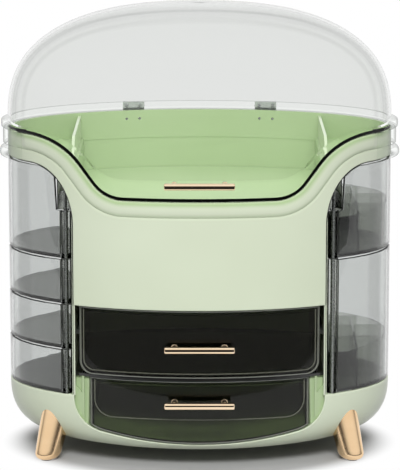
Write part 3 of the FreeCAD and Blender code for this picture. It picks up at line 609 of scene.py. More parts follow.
def beadProfile(d):
    # how far the rounded bead stands proud at this distance below the wave
    wide = fascia["beadWide"]
    broad, soft = fascia["beadPowers"]
    if d < wide:
        return fascia["beadProud"] * max(0.0, 1 - abs(2 * d / wide - 1) ** broad) ** soft
    groove = fascia["grooveWide"]
    if d < wide + groove:
        return -fascia["grooveDeep"] * sin(pi * (d - wide) / groove)
    return 0.0


def beadPaintedShadeShare(p):
    # painted shade: the bead is drawn darker along its two flanks, where its rounding turns from the light
    if p.y < bodyPlan["fasciaBottom"] + fascia["plainHigh"]:
        return 0.0
    d = belowWave(p.x, p.y)
    return min(1.0, sum(max(0.0, 1 - abs(d - middle) / reach) * strength
                        for middle, reach, strength in fascia["flanks"]))


def fasciaPlace(u, v, depth):
    turn = turnAt(u)
    proud = 0.0
    if depth < bodyPlan["shellWall"] / 2:
        proud = beadProfile(belowWave(u, v))
        # the bead gives way to the clear collar
        past = halfDepth * cos(turn) + bodyPlan["collarFront"]
        if proud > 0:
            proud *= min(1.0, max(0.0, past / fascia["beadFade"]))
    return onOval(turn, depth - proud, v)


def fasciaOutline():
    # along the foot, up the right arch, back along the wave and down the left arch
    right = [(0, bodyPlan["fasciaBottom"]), (arch["spring"], bodyPlan["fasciaBottom"])] + archPoints()
    right = [Vector((runOfX(x), z)) for x, z in right]
    right.append(Vector((float(runAt(pi / 2)), archCrownLevel)))
    return right + waveLine(0.0, halfWidth)[::-1] + mirrored(right[1:])


plate("frontFascia", fasciaOutline(), fasciaPlace, bodyPlan["shellWall"], fascia["edge"],
      fascia["spacing"], "organizer_body", [greenShell], ["front_fascia"],
      lines=[waveLine(drop, fascia["rowEnd"]) for drop in fascia["rows"]], toneOf=beadPaintedShadeShare)
print("fascia done")

# the lid's lists give each point's outward stand and its height, from the lid's foot or the lip's top
lidPlan = {
    "gap": 0.4,
    "wall": 2.5,
    "edgeSteep": ((0.0, 4.9), (0.5, 4.4), (0.9, 3.8), (1.0, 2.9), (1.0, 0.8)),
    "edgeFoot": ((0.75, 0.25), (0.3, 0.0)),
    "lipTop": ((0.0, 0.1), (4.6, 0.0), (5.7, -0.5), (6.0, -1.4)),
    "lipFoot": ((6.0, 1.3), (5.6, 0.4), (4.8, 0.0)),
    "inside": ((-1.9, 0.0), (-2.4, 0.5), (-2.5, 1.5)),
    "leastCosine": 0.55,
    # painted shade: the front edge's dark is drawn near-black
    "darkFrom": 3,  # the point of the front edge from which it is dark
    "darkUntil": 0.12,  # how far the lip has wrapped round where the dark ends
    "domeBase": 300.0,
    "domeHigh": 104.0,
    "domeCurve": 2.5,
    "crownShare": 0.03,
    "columns": 360,
    "domeRows": 40,
    "wallRows": 3,
}


def wrapShare(turn):
    # 0 along the front, growing to 1 where lip and collar wrap the sides and the back
    y = -halfDepth * cos(turn)
    share = min(1.0, max(0.0, (y - bodyPlan["collarFront"]) / bodyPlan["wrapRun"]))
    return sin(pi / 2 * share) ** bodyPlan["wrapPower"]


def lidEdge(turn):
    if abs(turn) < pi / 2:
        return waveLevel(halfWidth * sin(turn), -lidPlan["gap"])
    return wave["shoulder"] + lidPlan["gap"]


def lidTilt(turn):
    # how steeply the lid's front edge climbs here, over a short step in the front view
    if abs(turn) >= pi / 2:
        return 0.0
    x = halfWidth * sin(abs(turn))
    step = 0.5
    near, far = max(0.0, x - step), x + step
    return atan2(waveLevel(far, -lidPlan["gap"]) - waveLevel(near, -lidPlan["gap"]), far - near)


def lidColumn(turn):
    # outward stand and level of each point, from the dome's foot down outside, then up inside
    low, top = lidEdge(turn), lidPlan["domeBase"] - lidPlan["gap"]
    side = wrapShare(turn)
    stretch = 1.0 / max(lidPlan["leastCosine"], cos(lidTilt(turn)))
    edge = [(stand, low + high * stretch) for stand, high in lidPlan["edgeSteep"]]
    edge += [(stand, low + high) for stand, high in lidPlan["edgeFoot"]]
    lip = [(stand, top + high) for stand, high in lidPlan["lipTop"]]
    lip += [(stand, low + high) for stand, high in lidPlan["lipFoot"]]
    outside = [(a * (1 - side) + c * side, b * (1 - side) + d * side) for (a, b), (c, d) in zip(edge, lip)]
    return outside, [(stand, low + high) for stand, high in lidPlan["inside"]]


def lidMesh():
    plan = lidPlan
    base, wall = plan["domeBase"], plan["wall"]

    def domePoint(turn, share, inset):
        climb = pi / 2 * share
        power = 2 / plan["domeCurve"]
        # the last ring is a hair smaller, so it stays apart from the one before
        draw = max(cos(climb) ** power, plan["crownShare"] * (1 if share < 1 else 0.999))
        level = base + (plan["domeHigh"] - inset) * sin(climb) ** power
        return Vector(((halfWidth - inset) * draw * sin(turn), -(halfDepth - inset) * draw * cos(turn),
                       level)) * mm

    count, between = plan["columns"], plan["wallRows"]
    shares = [i / plan["domeRows"] for i in range(plan["domeRows"] + 1)]
    steps = [k / (between + 1) for k in range(1, between + 1)]
    turns = [-pi + 2 * pi * i / count for i in range(count)]
    columns = []
    for turn in turns:
        outside, inside = lidColumn(turn)
        top, foot = outside[0][1], inside[-1][1]
        column = [domePoint(turn, share, 0) for share in reversed(shares)]
        column += [onOval(turn, 0, base + (top - base) * step) for step in steps]
        column += [onOval(turn, -stand, level) for stand, level in outside + inside]
        column += [onOval(turn, wall, foot + (base - foot) * step) for step in steps]
        column += [domePoint(turn, share, wall) for share in shares]
        columns.append(column)
    rows = len(columns[0])
    # rows of faces counted down from the crown: all round the lip, and its lower half in painted shade
    lipFirst = len(shares) + between - 1
    lipLast = lipFirst + len(outside) + len(inside)
    rimRows = range(lipFirst, lipLast + 1)
    darkRows = range(lipFirst + 1 + plan["darkFrom"], lipLast)
    faces, tags = [], []
    for c in range(count):
        d = (c + 1) % count
        inFront = wrapShare(turns[c]) < plan["darkUntil"]
        for r in range(rows - 1):
            faces.append((c * rows + r, d * rows + r, d * rows + r + 1, c * rows + r + 1))
            tags.append(1 if inFront and r in darkRows else 2 if r in rimRows else 0)
    faces.append(tuple(c * rows for c in range(count)))
    faces.append(tuple(reversed([c * rows + rows - 1 for c in range(count)])))
    return [p for column in columns for p in column], faces, tags + [0, 0]


verts, faces, tags = lidMesh()
finishMesh("lidDome", verts, faces, "lid", [clearLid, seamShadeBlack, clearRim], ["lid_dome"], tags)

# painted shade: a near-black strip carries the front edge's dark line on inside the clear lip, and thins out
# along it
seamShade = {"high": 2.6, "taper": 0.75, "outer": -0.5, "inner": -2.2, "rise": 0.25, "before": 0.03, "run": 0.42,
        "columns": 40}
collarTurn = acos(-bodyPlan["collarFront"] / halfDepth)  # where the lip and the collar begin


def seamShadeMesh(side):
    columns = []
    for i in range(seamShade["columns"] + 1):
        share = i / seamShade["columns"]
        turn = collarTurn - seamShade["before"] + seamShade["run"] * share
        low = lidEdge(turn) + seamShade["rise"]
        high = low + seamShade["high"] * (1 - seamShade["taper"] * share)
        section = [(seamShade["outer"], low), (seamShade["outer"], high), (seamShade["inner"], high), (seamShade["inner"], low)]
        columns.append([onOval(side * turn, -stand, level) for stand, level in section])
    return swept(columns)


verts, faces = joined([seamShadeMesh(side) for side in sides])
finishMesh("lidSeamShade", verts, faces, "lid", [seamShadeBlack])
print("lid done")

# the clear collar round the sides and the back: its corners' lists give stand and height from each corner
collar = {
    "low": 266.1,
    "top": 291.6,
    "inner": 0.15,
    "flangeProud": 7.5,
    "flangeHigh": 8.7,
    "round": 3.6,
    "neckProud": 2.0,
    "neckHigh": 3.3,
    "wallProud": 4.5,
    "neckFoot": ((0.4, 0.1), (0.0, 0.6)),
    "neckTop": ((0.0, -0.4), (0.4, 0.0)),
    "wallFoot": ((-0.6, 0.0), (0.0, 0.6)),
    "wallTop": ((0.0, -0.9), (-0.3, -0.25), (-0.9, 0.0)),
    "endShare": 0.06,
    "columns": 260,
}


def collarSection(share):
    # closed section as outward stand and level; share draws it in towards the ends
    low, inner, r = collar["low"], collar["inner"], collar["round"]
    middle = collar["flangeProud"] - r
    points = [(inner, low)]
    for level, start in ((low + r, -pi / 2), (low + collar["flangeHigh"] - r, 0.0)):
        turns = [start + pi / 2 * k / 6 for k in range(7)]
        points += [(middle + r * cos(turn), level + r * sin(turn)) for turn in turns]
    neck, wall = collar["neckProud"], collar["wallProud"]
    neckFoot = low + collar["flangeHigh"]
    neckTop = neckFoot + collar["neckHigh"]
    for corner, stand, level in (("neckFoot", neck, neckFoot), ("neckTop", neck, neckTop),
                                 ("wallFoot", wall, neckTop), ("wallTop", wall, collar["top"])):
        points += [(stand + out, level + up) for out, up in collar[corner]]
    points.append((inner, collar["top"]))
    return [(inner + (stand - inner) * share, level) for stand, level in points]


def collarMesh():
    columns = []
    for i in range(collar["columns"] + 1):
        turn = collarTurn + (2 * pi - 2 * collarTurn) * i / collar["columns"]
        share = collar["endShare"] + (1 - collar["endShare"]) * wrapShare(turn)
        columns.append([onOval(turn, -stand, level) for stand, level in collarSection(share)])
    return swept(columns)


verts, faces = collarMesh()
finishMesh("clearCollar", verts, faces, "organizer_body", [clearRim], ["clear_collar"])
print("collar done")

footPlan = {
    "x": 137.0,
    "y": 68.0,
    "leanX": 0.23,
    "leanY": 0.34,
    "tipRadius": 11.0,
    "taper": 0.06,
    "edge": 6.0,
    "proud": 0.8,
    "rises": (9, 14, 20, 26, 32, 38, 44, 52),
    "round": 56,
}


def footMesh(side, end):
    # a round foot leaning inwards: each ring lies level, so it is longer along the lean
    plan = footPlan
    lean = Vector((-side * plan["leanX"], -end * plan["leanY"], 1)).normalized()
    away = Vector((lean.x, lean.y)).normalized()
    across = Vector((-away.y, away.x))
    stretch = 1 / lean.z
    tip = Vector((side * plan["x"], end * plan["y"], 0))
    turns = [pi / 2 * k / 7 for k in range(8)]
    rows = [(-plan["edge"] * (1 - sin(turn)), plan["edge"] * (1 - cos(turn))) for turn in turns]
    rows += [(0.0, rise) for rise in plan["rises"]]
    verts = []
    for swell, rise in rows:
        level = plan["proud"] + rise
        along = level / lean.z
        middle = tip + lean * along
        radius = plan["tipRadius"] + plan["taper"] * along + swell
        for i in range(plan["round"]):
            turn = 2 * pi * i / plan["round"]
            spot = away * (radius * stretch * cos(turn)) + across * (radius * sin(turn))
            verts.append(Vector((middle.x + spot.x, middle.y + spot.y, level)) * mm)
    return verts, ringFaces(len(rows), plan["round"])


for corner, (side, end) in {"front_left": (-1, -1), "front_right": (1, -1),
                            "rear_left": (-1, 1), "rear_right": (1, 1)}.items():
    verts, faces = footMesh(side, end)
    finishMesh("goldFoot_" + corner, verts, faces, "organizer_body", [goldTrim],
               [corner + "_foot"])
print("feet done")

handlePlan = {
    "barRadius": 3.0,
    "barSquare": 3.0,
    "barHalf": 30.75,
    "edge": 1.1,
    "stand": 8.5,
    "stemX": 22.0,
    "stemRadius": 2.2,
    "flare": ((2.2, 2.2), (2.45, 1.4), (2.85, 1.0), (3.1, 0.7), (3.1, 0.0)),  # radius, and run to the end
    "endGap": 0.15,
}


def handleMesh(level, inset):
    # a bar on two stems that flare where they meet the panel
    plan = handlePlan
    r, half, e = plan["barRadius"], plan["barHalf"], plan["edge"]
    barY = -(halfDepth + plan["stand"])
    ends = [(r - e + e * sin(pi / 2 * k / 5), e * (1 - cos(pi / 2 * k / 5))) for k in range(6)]
    profile = ends + [(r, 2 * half * k / 8) for k in range(1, 8)]
    profile += [(a, 2 * half - b) for a, b in reversed(ends)]
    bar, barFaces = turned(profile, (0, 0, 0), (1, 0, 0), 48)
    power = plan["barSquare"]
    for p in bar:
        # a slightly squared round: its four sides keep their places and the corners swell
        size = sqrt(p.y ** 2 + p.z ** 2)
        swell = (abs(p.y / size) ** power + abs(p.z / size) ** power) ** (-1 / power)
        p.y, p.z = p.y * swell, p.z * swell
        p += Vector((-half, barY, level)) * mm
    parts = [(bar, barFaces)]
    for side in sides:
        x = side * plan["stemX"]
        panelY = -(halfDepth - inset) * sqrt(1 - (x / (halfWidth - inset)) ** 2)
        reach = panelY - barY - plan["endGap"]
        shape = [(plan["stemRadius"], 0)] + [(radius, reach - run) for radius, run in plan["flare"]]
        parts.append(turned(shape, (x, barY, level), (0, 1, 0), 32))
    return joined(parts)


# each handle's level, and how far its panel lies inside the body's oval
for name, level, inset, body, node in (
        ("lidHandle", 255.5, 0.0, "lid", "lid_handle"),
        ("upperDrawerHandle", 111.0, bodyPlan["upperFrontInset"], "upper_drawer", "upper_drawer_handle"),
        ("lowerDrawerHandle", 60.8, bodyPlan["lowerFrontInset"], "lower_drawer", "lower_drawer_handle")):
    verts, faces = handleMesh(level, inset)
    finishMesh(name, verts, faces, body, [goldBar], [node])
print("handles done")

bowlPlan = {
    "low": 16.0,
    "sideInset": 51.0,
    "frontInset": 16.3,
    "curve": 2.64,
    "edge": 0.9,
    "mouthHalf": 111.0,
    "mouthLow": 22.0,
    "mouthCorner": 30.0,
    "mouthCornerLevel": 60.5,
    "spacing": (5.0, 4.0),
    "mouthSpacing": 3.0,
    "rimSpacing": 6.0,
    "seamSpacing": 4.0,
    "shiftReach": 16.0,
    "weld": 0.00002,
}


def mouthHalfLine(grow):
    # right half of the mouth's outline from its lowest point, as x and level
    plan = bowlPlan
    corner, low = plan["mouthCorner"] + grow, plan["mouthLow"] - grow
    cornerX = plan["mouthHalf"] + grow - corner
    rise = plan["mouthCornerLevel"] - low
    sill = (cornerX ** 2 + rise ** 2 - corner ** 2) / (2 * (rise - corner))
    lean = asin(cornerX / (sill - corner))
    line = [(sill * sin(lean * k / 16), low + sill - sill * cos(lean * k / 16)) for k in range(17)]
    for k in range(1, 21):
        turn = lean + (pi / 2 - lean) * k / 20
        line.append((cornerX + corner * sin(turn), plan["mouthCornerLevel"] - corner * cos(turn)))
    return line


def bowlPull(share):
    # how far the flank has drawn in, from 0 at the rim to 1 at the floor
    return 1 - (1 - min(1.0, share) ** bowlPlan["curve"]) ** (1 / bowlPlan["curve"])


# shares of the bowl's height against the length down its front flank
bowlHigh = bodyPlan["rimLevel"] - bowlPlan["low"]
bowlShares = np.linspace(0, 1, 1201)
bowlReach = np.array([bowlPull(s) * bowlPlan["frontInset"] for s in bowlShares])
bowlRun = np.concatenate([[0], np.cumsum(np.hypot(np.diff(bowlReach), np.diff(bowlShares * bowlHigh)))])


def bowlPlace(u, v, depth):
    share = float(np.interp(v, bowlRun, bowlShares))
    pull = bowlPull(share)
    turn = turnAt(u)
    wideX = halfWidth - depth - bowlPlan["sideInset"] * pull
    wideY = halfDepth - depth - bowlPlan["frontInset"] * pull
    level = bodyPlan["rimLevel"] - (bowlHigh - depth) * share
    if share <= 0:
        level = bodyPlan["rimLevel"] - v
    return Vector((wideX * sin(turn), -wideY * cos(turn), level)) * mm


def bowlSpot(x, level, depth=0.0):
    # run and flank length of a point of the bowl, or of its lining, seen from the front
    share = (bodyPlan["rimLevel"] - level) / (bowlHigh - depth)
    wide = halfWidth - depth - bowlPlan["sideInset"] * bowlPull(share)
    return Vector((float(runAt(asin(min(1.0, x / wide)))), float(np.interp(share, bowlShares, bowlRun))))


def bowlLoop():
    # the bowl's wall unrolled: along the mouth, the rim, down the seam at the back, and the floor's edge
    plan = bowlPlan
    endRun, lowRun = float(runTable[-1]), float(bowlRun[-1])
    half = [bowlSpot(x, z) for x, z in mouthHalfLine(0.0)]
    half = [p for p in half if p.y > 0] + [Vector((runOfX(plan["mouthHalf"]), 0.0))]
    mouth = resample(mirrored(half) + half[1:], plan["mouthSpacing"], False)
    rim = resample([half[-1], Vector((endRun, 0))], plan["rimSpacing"], False)[1:]
    seam = resample([Vector((endRun, 0)), Vector((endRun, lowRun))], plan["seamSpacing"], False)[1:]
    floor = resample([Vector((endRun, lowRun)), Vector((-endRun, lowRun))], plan["rimSpacing"], False)[1:]
    seamLeft = mirrored(seam[:-1]) + [Vector((-endRun, 0))]
    loop = mouth + rim + seam + floor + seamLeft + mirrored(rim[:-1])
    # the seam's two edges meet and the floor closes the foot, so neither has a side wall
    firstOpen = len(mouth) + len(rim) - 1
    lastOpen = firstOpen + len(seam) + len(floor) + len(seamLeft)
    return loop, mouth, [firstOpen <= i < lastOpen for i in range(len(loop))]


def bowlMesh():
    plan = bowlPlan
    thick = bodyPlan["shellWall"]
    loop, mouth, openSide = bowlLoop()
    count, lowRun = len(loop), float(bowlRun[-1])
    # the mouth is cut straight back, so the lining's edge lies further down the flank
    shifts = []
    for p in mouth:
        spot = bowlPlace(p.x, p.y, 0.0) / mm
        back = bowlSpot(abs(spot.x), spot.z, thick)
        shifts.append(Vector((copysign(back.x, p.x) - p.x, back.y - p.y)))

    def straightBack(p, depth):
        gaps = [(p - q).length for q in mouth]
        nearest = int(np.argmin(gaps))
        near = max(0.0, 1 - gaps[nearest] / plan["shiftReach"])
        return bowlPlace(*(p + shifts[nearest] * (near * depth / thick)), depth)

    flat, triangles, ids = filled(drawnIn(loop, plan["edge"], openSide), [], plan["spacing"])
    where = placesOf(ids)
    walled = [(i, (i + 1) % count) for i in range(count) if not openSide[i]]
    verts, faces, outer = [], [], []
    for back in (False, True):
        first = len(verts)
        verts += [straightBack(p, thick if back else 0.0) for p in flat]
        faces += [tuple(first + i for i in (reversed(tri) if back else tri)) for tri in triangles]
        rings = []
        for gap, drop in edgeSteps(plan["edge"]):
            start = len(verts)
            verts += [straightBack(p, thick - drop if back else drop) for p in drawnIn(loop, gap, openSide)]
            rings.append(list(range(start, start + count)))
        rings.append([first + where[i] for i in range(count)])
        for low, high in zip(rings, rings[1:]):
            faces += [(low[i], low[j], high[j], high[i]) for i, j in walled]
        outer.append(rings[0])
        floor = [rings[-1][i] for i in range(count) if abs(loop[i].y - lowRun) < tinyGap]
        faces.append(tuple(floor[:-1]))
    faces += [(outer[0][j], outer[0][i], outer[1][i], outer[1][j]) for i, j in walled]
    # leave out the corners that the open sides don't use
    used = sorted(set(i for face in faces for i in face))
    renumber = {old: new for new, old in enumerate(used)}
    return [verts[i] for i in used], [tuple(renumber[i] for i in face) for face in faces]


verts, faces = bowlMesh()
finishMesh("baseBowl", verts, faces, "organizer_body", [greenShell], ["base_bowl"],
           weld=bowlPlan["weld"])
print("bowl done")

drawerPlan = {
    "upperHalf": 106.2,
    "upperLow": 83.0,
    "upperTop": 143.4,
    "corner": 11.0,
    "lowerHalf": 97.0,
    "lowerTop": 79.5,
    "mouthGap": 1.0,
    "wall": 2.35,
    "edge": 0.8,
    "spacing": (6.0, 12.0),
}


def upperFrontHalf():
    plan = drawerPlan
    half, low, r = plan["upperHalf"], plan["upperLow"], plan["corner"]
    turns = [pi / 2 * k / 8 for k in range(9)]
    corner = [(half - r + r * sin(turn), low + r - r * cos(turn)) for turn in turns]
    return [(0, low)] + corner + [(half, plan["upperTop"])]


def lowerFrontHalf():
    # the foot follows the bowl's mouth
    plan = drawerPlan
    half = plan["lowerHalf"]
    corner = bowlPlan["mouthCorner"] - plan["mouthGap"]
    cornerX = bowlPlan["mouthHalf"] - plan["mouthGap"] - corner
    foot = [(x, z) for x, z in mouthHalfLine(-plan["mouthGap"]) if x < half]
    return foot + [(half, bowlPlan["mouthCornerLevel"] - sqrt(corner ** 2 - (half - cornerX) ** 2)),
                   (half, plan["lowerTop"])]


# the fronts' side walls take the painted highlight grey
for name, half, slot in (("upper", upperFrontHalf(), "drawer_tub"),
                         ("lower", lowerFrontHalf(), "smoke_tray")):
    inset = bodyPlan[name + "FrontInset"]
    right = [Vector((runOfX(x, inset), z)) for x, z in half]
    plate(name + "DrawerFront", right + mirrored(right[1:]), ovalPlace(inset), drawerPlan["wall"],
          drawerPlan["edge"], drawerPlan["spacing"], name + "_drawer", [smokeFront, edgeHighlightGrey],
          [name + "_drawer_front"], wallTag=lambda p: 1)

# raised line where each tub meets the back of its front panel, drawn in painted highlight grey
tubLine = {
    "wide": 0.9,
    "deep": 0.7,
    "gap": 0.15,
    "upper": {"half": 102.8, "low": 86.2, "top": 141.0, "r": 9.5},
    "lower": {"half": 93.2, "low": 44.0, "top": 77.0, "r": 16.0},
}


def tubLineMesh(inset, half, low, top, r):
    middle = half - r
    turns = [pi / 2 * k / 10 for k in range(11)]
    left = [(-half, top + (low + r - top) * k / 6) for k in range(6)]
    left += [(-middle - r * cos(turn), low + r - r * sin(turn)) for turn in turns]
    foot = [(-middle + 2 * middle * k / 40, low) for k in range(1, 40)]
    path = left + foot + [(-x, z) for x, z in reversed(left)]
    inner, outer = inset + tubLine["gap"], inset + tubLine["gap"] + tubLine["deep"]
    columns = []
    for i, (x, z) in enumerate(path):
        a, b = path[max(0, i - 1)], path[min(len(path) - 1, i + 1)]
        along = Vector((b[0] - a[0], b[1] - a[1])).normalized()
        side = Vector((-along.y, along.x)) * tubLine["wide"]
        columns.append([onOval(turnAt(runOfX(x + side.x * w, inset)), d, z + side.y * w)
                        for w, d in ((0, inner), (0, outer), (1, outer), (1, inner))])
    return swept(columns)


for name in ("upper", "lower"):
    verts, faces = tubLineMesh(bodyPlan[name + "FrontInset"] + drawerPlan["wall"], **tubLine[name])
    finishMesh(name + "TubLine", verts, faces, name + "_drawer", [edgeHighlightGrey])

# green cheeks close the gap beside the lower drawer, behind the bowl's jambs, in the painted-shade green
cheek = {
    "inner": 98.0,
    "outer": 110.0,
    "top": 79.8,
    "inset": 6.6,
    "thick": 2.0,
    "grow": 1.0,
    "edge": 0.3,
    "spacing": (4.0, 6.0),
}


def cheekOutline(side):
    foot = [(x, z) for x, z in mouthHalfLine(cheek["grow"]) if cheek["inner"] < x < cheek["outer"]]
    points = foot + [(cheek["outer"], cheek["top"]), (cheek["inner"], cheek["top"])]
    return [Vector((side * runOfX(x, cheek["inset"]), z)) for x, z in points]


for side, name in zip(sides, ("leftMouthCheek", "rightMouthCheek")):
    plate(name, cheekOutline(side), ovalPlace(cheek["inset"]), cheek["thick"], cheek["edge"],
          cheek["spacing"], "organizer_body", [greenInPaintedShade])
print("drawer fronts done")

windowPlan = {
    "startX": 122.0,
    "topStartX": 126.6,
    "endX": 113.2,
    "bearingLevel": 227.5,
    "bearingGap": 0.4,
    "tierGap": 0.6,
    "archGap": 0.8,
    "edge": 0.8,
    "spacing": (7.0, 20.0),
    "darkUpTo": 10.0,
    "uprightNear": 0.05,
}
tierLevels = [bodyPlan["rimLevel"], 103.2, bodyPlan["fasciaBottom"], 184.6, collar["low"]]
windowStart = runOfX(windowPlan["startX"])
windowEnd = rearRunOfX(windowPlan["endX"])


def windowOutline(z0, z1, side):
    # a bent strip, which on the top tier runs up under the arch and stands clear of the bearing block
    plan = windowPlan
    low, high = z0 + plan["tierGap"], z1 - plan["tierGap"]
    line = [(windowStart, low), (windowEnd, low)]
    if z1 < tierLevels[-1]:
        line += [(windowEnd, high), (windowStart, high)]
    else:
        below = [(x, z) for x, z in archPoints(plan["archGap"]) if z < high]
        step = plan["bearingLevel"] + plan["bearingGap"]
        line += [(rearRunOfX(x), z) for x, z in below if x > plan["endX"]]
        line += [(rearRunOfX(archCrownX), high), (runOfX(archCrownX), high)]
        line += [(runOfX(x), z) for x, z in reversed(below) if x > plan["topStartX"]]
        line += [(runOfX(plan["topStartX"]), step), (windowStart, step)]
    return [Vector((side * u, v)) for u, v in line]


def windowWall(p):
    # painted shade: level edges are drawn dark, upright edges and the arch stay clear
    upright = min(abs(abs(p.x) - windowStart), abs(abs(p.x) - windowEnd)) < windowPlan["uprightNear"]
    return 0 if upright or p.y > tierLevels[3] + windowPlan["darkUpTo"] else 1


windows = [("left_window_%d" % (4 - i), -1, tierLevels[i], tierLevels[i + 1], "left_tier_%d" % (4 - i))
           for i in range(4)]
windows += [("lower_right_window", 1, tierLevels[0], tierLevels[3], "lower_right_tier"),
            ("upper_right_window", 1, tierLevels[3], tierLevels[4], "upper_right_tier")]
for node, side, z0, z1, body in windows:
    name = "clear" + "".join(word.capitalize() for word in node.split("_"))
    plate(name, windowOutline(z0, z1, side), ovalPlace(0.0), bodyPlan["clearWall"], windowPlan["edge"],
          windowPlan["spacing"], body, [clearWindow, windowEdgeShade], [node], wallTag=windowWall)
print("windows done")

# painted shade: a near-black strip where the side windows meet the green front
archShade = {"wide": 0.6, "front": 0.3, "deep": 2.2, "low": 63.0, "crownRun": (154.0, 158.0, 161.5)}


def archShadeMesh(side):
    # up the jamb, round the arch and along its crown: each point with the way the strip is wide
    path = [(arch["spring"], archShade["low"] + (arch["springLevel"] - archShade["low"]) * k / 12, 1, 0)
            for k in range(12)]
    for x, z in archPoints(0.0, 40):
        inward = Vector((archCrownX - x, arch["springLevel"] - z)).normalized()
        path.append((x, z, inward.x, inward.y))
    path += [(x, archCrownLevel, 0, -1) for x in archShade["crownRun"]]
    front, deep, wide = archShade["front"], archShade["deep"], archShade["wide"]
    columns = []
    for x, z, dx, dz in path:
        corners = ((0.0, front), (0.0, deep), (wide, deep), (wide, front))
        columns.append([onOval(side * asin(min(1.0, (x + dx * w) / halfWidth)), d, z + dz * w)
                        for w, d in corners])
    return swept(columns)


verts, faces = joined([archShadeMesh(side) for side in sides])
finishMesh("archShadeStrip", verts, faces, "organizer_body", [shadeBlack])
print("lining done")

# the nodes that stay as the part has them take a finish by their slot, or one of their own
slotFinish = {
    "green_shell": greenShell,
    "gold_trim": goldTrim,
    "clear_window": clearWindow,
    "smoke_tray": smokeTray,
    "drawer_tub": smokeTub,
    "clear_partition": greenPanel,
    "hinge_metal": hingeMetal,
    "steel_hardware": steel,
    "foot_rubber": footRubber,
    "slide_plastic": slidePlastic,
}
# painted shade: the drawer shelf and bay ceiling take near-black, and the back, rear band, top tray, housing
# and guides a darker copy of the green
ownFinish = {
    "drawer_shelf": shadeBlack,
    "bay_ceiling": shadeBlack,
    "cabinet_back": greenInPaintedShade,
    "rear_band": greenInPaintedShade,
    "top_tray": greenInPaintedShade,
    "drawer_housing": greenInPaintedShade,
    "lower_right_rack": smokeRack,
    "upper_right_rack": smokeRack,
    "lower_right_bin": smokeRack,
    "lower_drawer_box": smokeBin,
    "lower_drawer_guides": greenInPaintedShade,
    "left_bearing_block": smokeTray,
    "right_bearing_block": smokeTray,
}
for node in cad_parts.values():
    slotName = node.data.materials[0].name
    node.data.materials[0] = ownFinish.get(node.name, slotFinish.get(slotName, greenShell))
print("carried nodes finished")

# lengths in metres; each of the last five takes the light from one strength to another, as the way up,
# aside or behind goes from the third number to the fourth
studio = {
    "paperFront": 0.36,
    "paperFar": 7.0,
    "paperTone": 0.38,
    "paperSeen": 0.4,
    "paperGrain": {"scale": 900, "depth": 0.00001, "rough": 0.75, "spread": 0.05},
    "shadowReach": (0.14, 0.107),
    "whiteFrom": 1.06,
    "whiteFull": 1.3,
    "overhead": (0.2, 0.55, 0.0, 0.9),
    "aside": (1.0, 0.5, 0.2, 0.95),
    "sweep": (0.0, 1.0, 0.1, 0.5),
    "ceiling": (0.03, 1.0, 0.06, 0.26),
    "beyond": (0.85, 1.0, -0.6, 0.1),
}
lamps = {
    "frontSoftbox": {"place": (0.02, -1.85, 1.55), "aim": (0, 0, 0.2), "size": (1.0, 0.7), "power": 53},
    "topSoftbox": {"place": (0, -0.05, 1.9), "aim": (0, 0, 0), "size": (1.2, 1.0), "power": 9},
}
cameraPlan = {"place": (0.00045, -2.4961, 0.6615), "tilt": 79.34, "lens": 214.47}


def buildFloor():
    far, near = studio["paperFar"], studio["paperFront"]
    mesh = bpy.data.meshes.new("floorPaper")
    mesh.from_pydata([(-far, -near, 0), (far, -near, 0), (far, far, 0), (-far, far, 0)], [], [(0, 1, 2, 3)])
    floor = bpy.data.objects.new("floorPaper", mesh)
    bpy.context.collection.objects.link(floor)
    paper, tree, shader, output = newMaterial("floorPaper")
    addGrain(tree, shader, **studio["paperGrain"])
    # the eye, gloss and clear walls see the paper paler than matt surfaces do, and white past the bowl
    ray = addNode(tree, "LightPath").outputs
    seen = mathOf(tree, "MAXIMUM", ray["Is Camera Ray"], ray["Is Transmission Ray"])
    shown = mathOf(tree, "MAXIMUM", seen, ray["Is Glossy Ray"])
    plain, pale = [(studio[key],) * 3 + (1,) for key in ("paperTone", "paperSeen")]
    feed(tree, shader, {"Base Color": mixedTone(tree, shown, plain, pale)})
    place = addNode(tree, "TexCoord").outputs["Object"]
    reachX, reachY = studio["shadowReach"]
    oval = addNode(tree, "Mapping", {"Vector": place, "Scale": (1 / reachX, 1 / reachY, 1)})
    away = addNode(tree, "VectorMath", {0: oval.outputs["Vector"]}, operation="LENGTH")
    white = ramped(tree, away.outputs["Value"], 0.0, 1.0, studio["whiteFrom"], studio["whiteFull"])
    glow = addNode(tree, "Emission").outputs["Emission"]
    share = mathOf(tree, "MULTIPLY", white, shown)
    feed(tree, output, {"Surface": mixedShader(tree, share, shader.outputs["BSDF"], glow)})
    mesh.materials.append(paper)


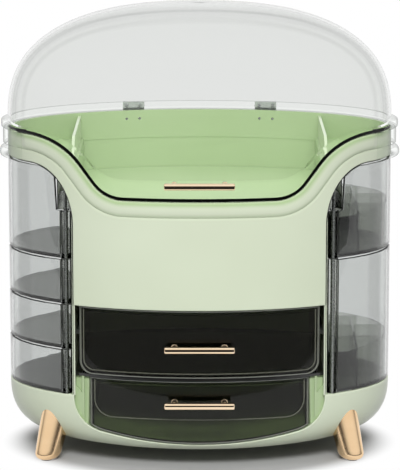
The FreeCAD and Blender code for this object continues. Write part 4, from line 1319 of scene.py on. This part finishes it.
def buildWorld():
    world = bpy.data.worlds.new("studio")
    scene.world = world
    world.use_nodes = True
    tree = world.node_tree
    tree.nodes.clear()

    def lit(strength):
        node = addNode(tree, "Background", {"Color": (1, 1, 1, 1), "Strength": strength})
        return node.outputs["Background"]

    place = addNode(tree, "TexCoord").outputs["Generated"]
    way = addNode(tree, "SeparateXYZ", {"Vector": place}).outputs
    # light for matt surfaces, stronger overhead and weaker from the sides
    overhead = ramped(tree, way["Z"], *studio["overhead"])
    weaker = ramped(tree, mathOf(tree, "ABSOLUTE", way["X"]), *studio["aside"])
    surface = lit(mathOf(tree, "MULTIPLY", overhead, weaker))
    # gloss shows a bright sweep behind, a soft ceiling and a dark room in front
    behind = ramped(tree, way["Y"], *studio["sweep"])
    mirror = mathOf(tree, "MAXIMUM", behind, ramped(tree, way["Z"], *studio["ceiling"]))
    # clear walls show what lies past the paper, and the eye sees plain white there
    beyond = ramped(tree, way["Y"], *studio["beyond"])
    ray = addNode(tree, "LightPath").outputs
    for kind, strength in (("Is Glossy Ray", mirror), ("Is Transmission Ray", beyond),
                           ("Is Camera Ray", 1.0)):
        surface = mixedShader(tree, ray[kind], surface, lit(strength))
    addNode(tree, "OutputWorld", {"Surface": surface})


def addLamp(name, place, aim, size, power):
    data = bpy.data.lights.new(name, "AREA")
    data.shape = "RECTANGLE"
    data.size, data.size_y = size
    data.energy = power
    lamp = bpy.data.objects.new(name, data)
    bpy.context.collection.objects.link(lamp)
    lamp.location = place
    lamp.rotation_euler = (Vector(aim) - Vector(place)).to_track_quat("-Z", "Y").to_euler()
    lamp.visible_glossy = False
    lamp.visible_transmission = False


def addCamera(place, tilt, lens):
    data = bpy.data.cameras.new("frontCamera")
    data.lens = lens
    data.clip_end = 50
    camera = bpy.data.objects.new("frontCamera", data)
    bpy.context.collection.objects.link(camera)
    camera.location = place
    camera.rotation_euler = (radians(tilt), 0, 0)
    scene.camera = camera


buildFloor()
buildWorld()
for name, lamp in lamps.items():
    addLamp(name, **lamp)
addCamera(**cameraPlan)
print("camera and lamps placed")
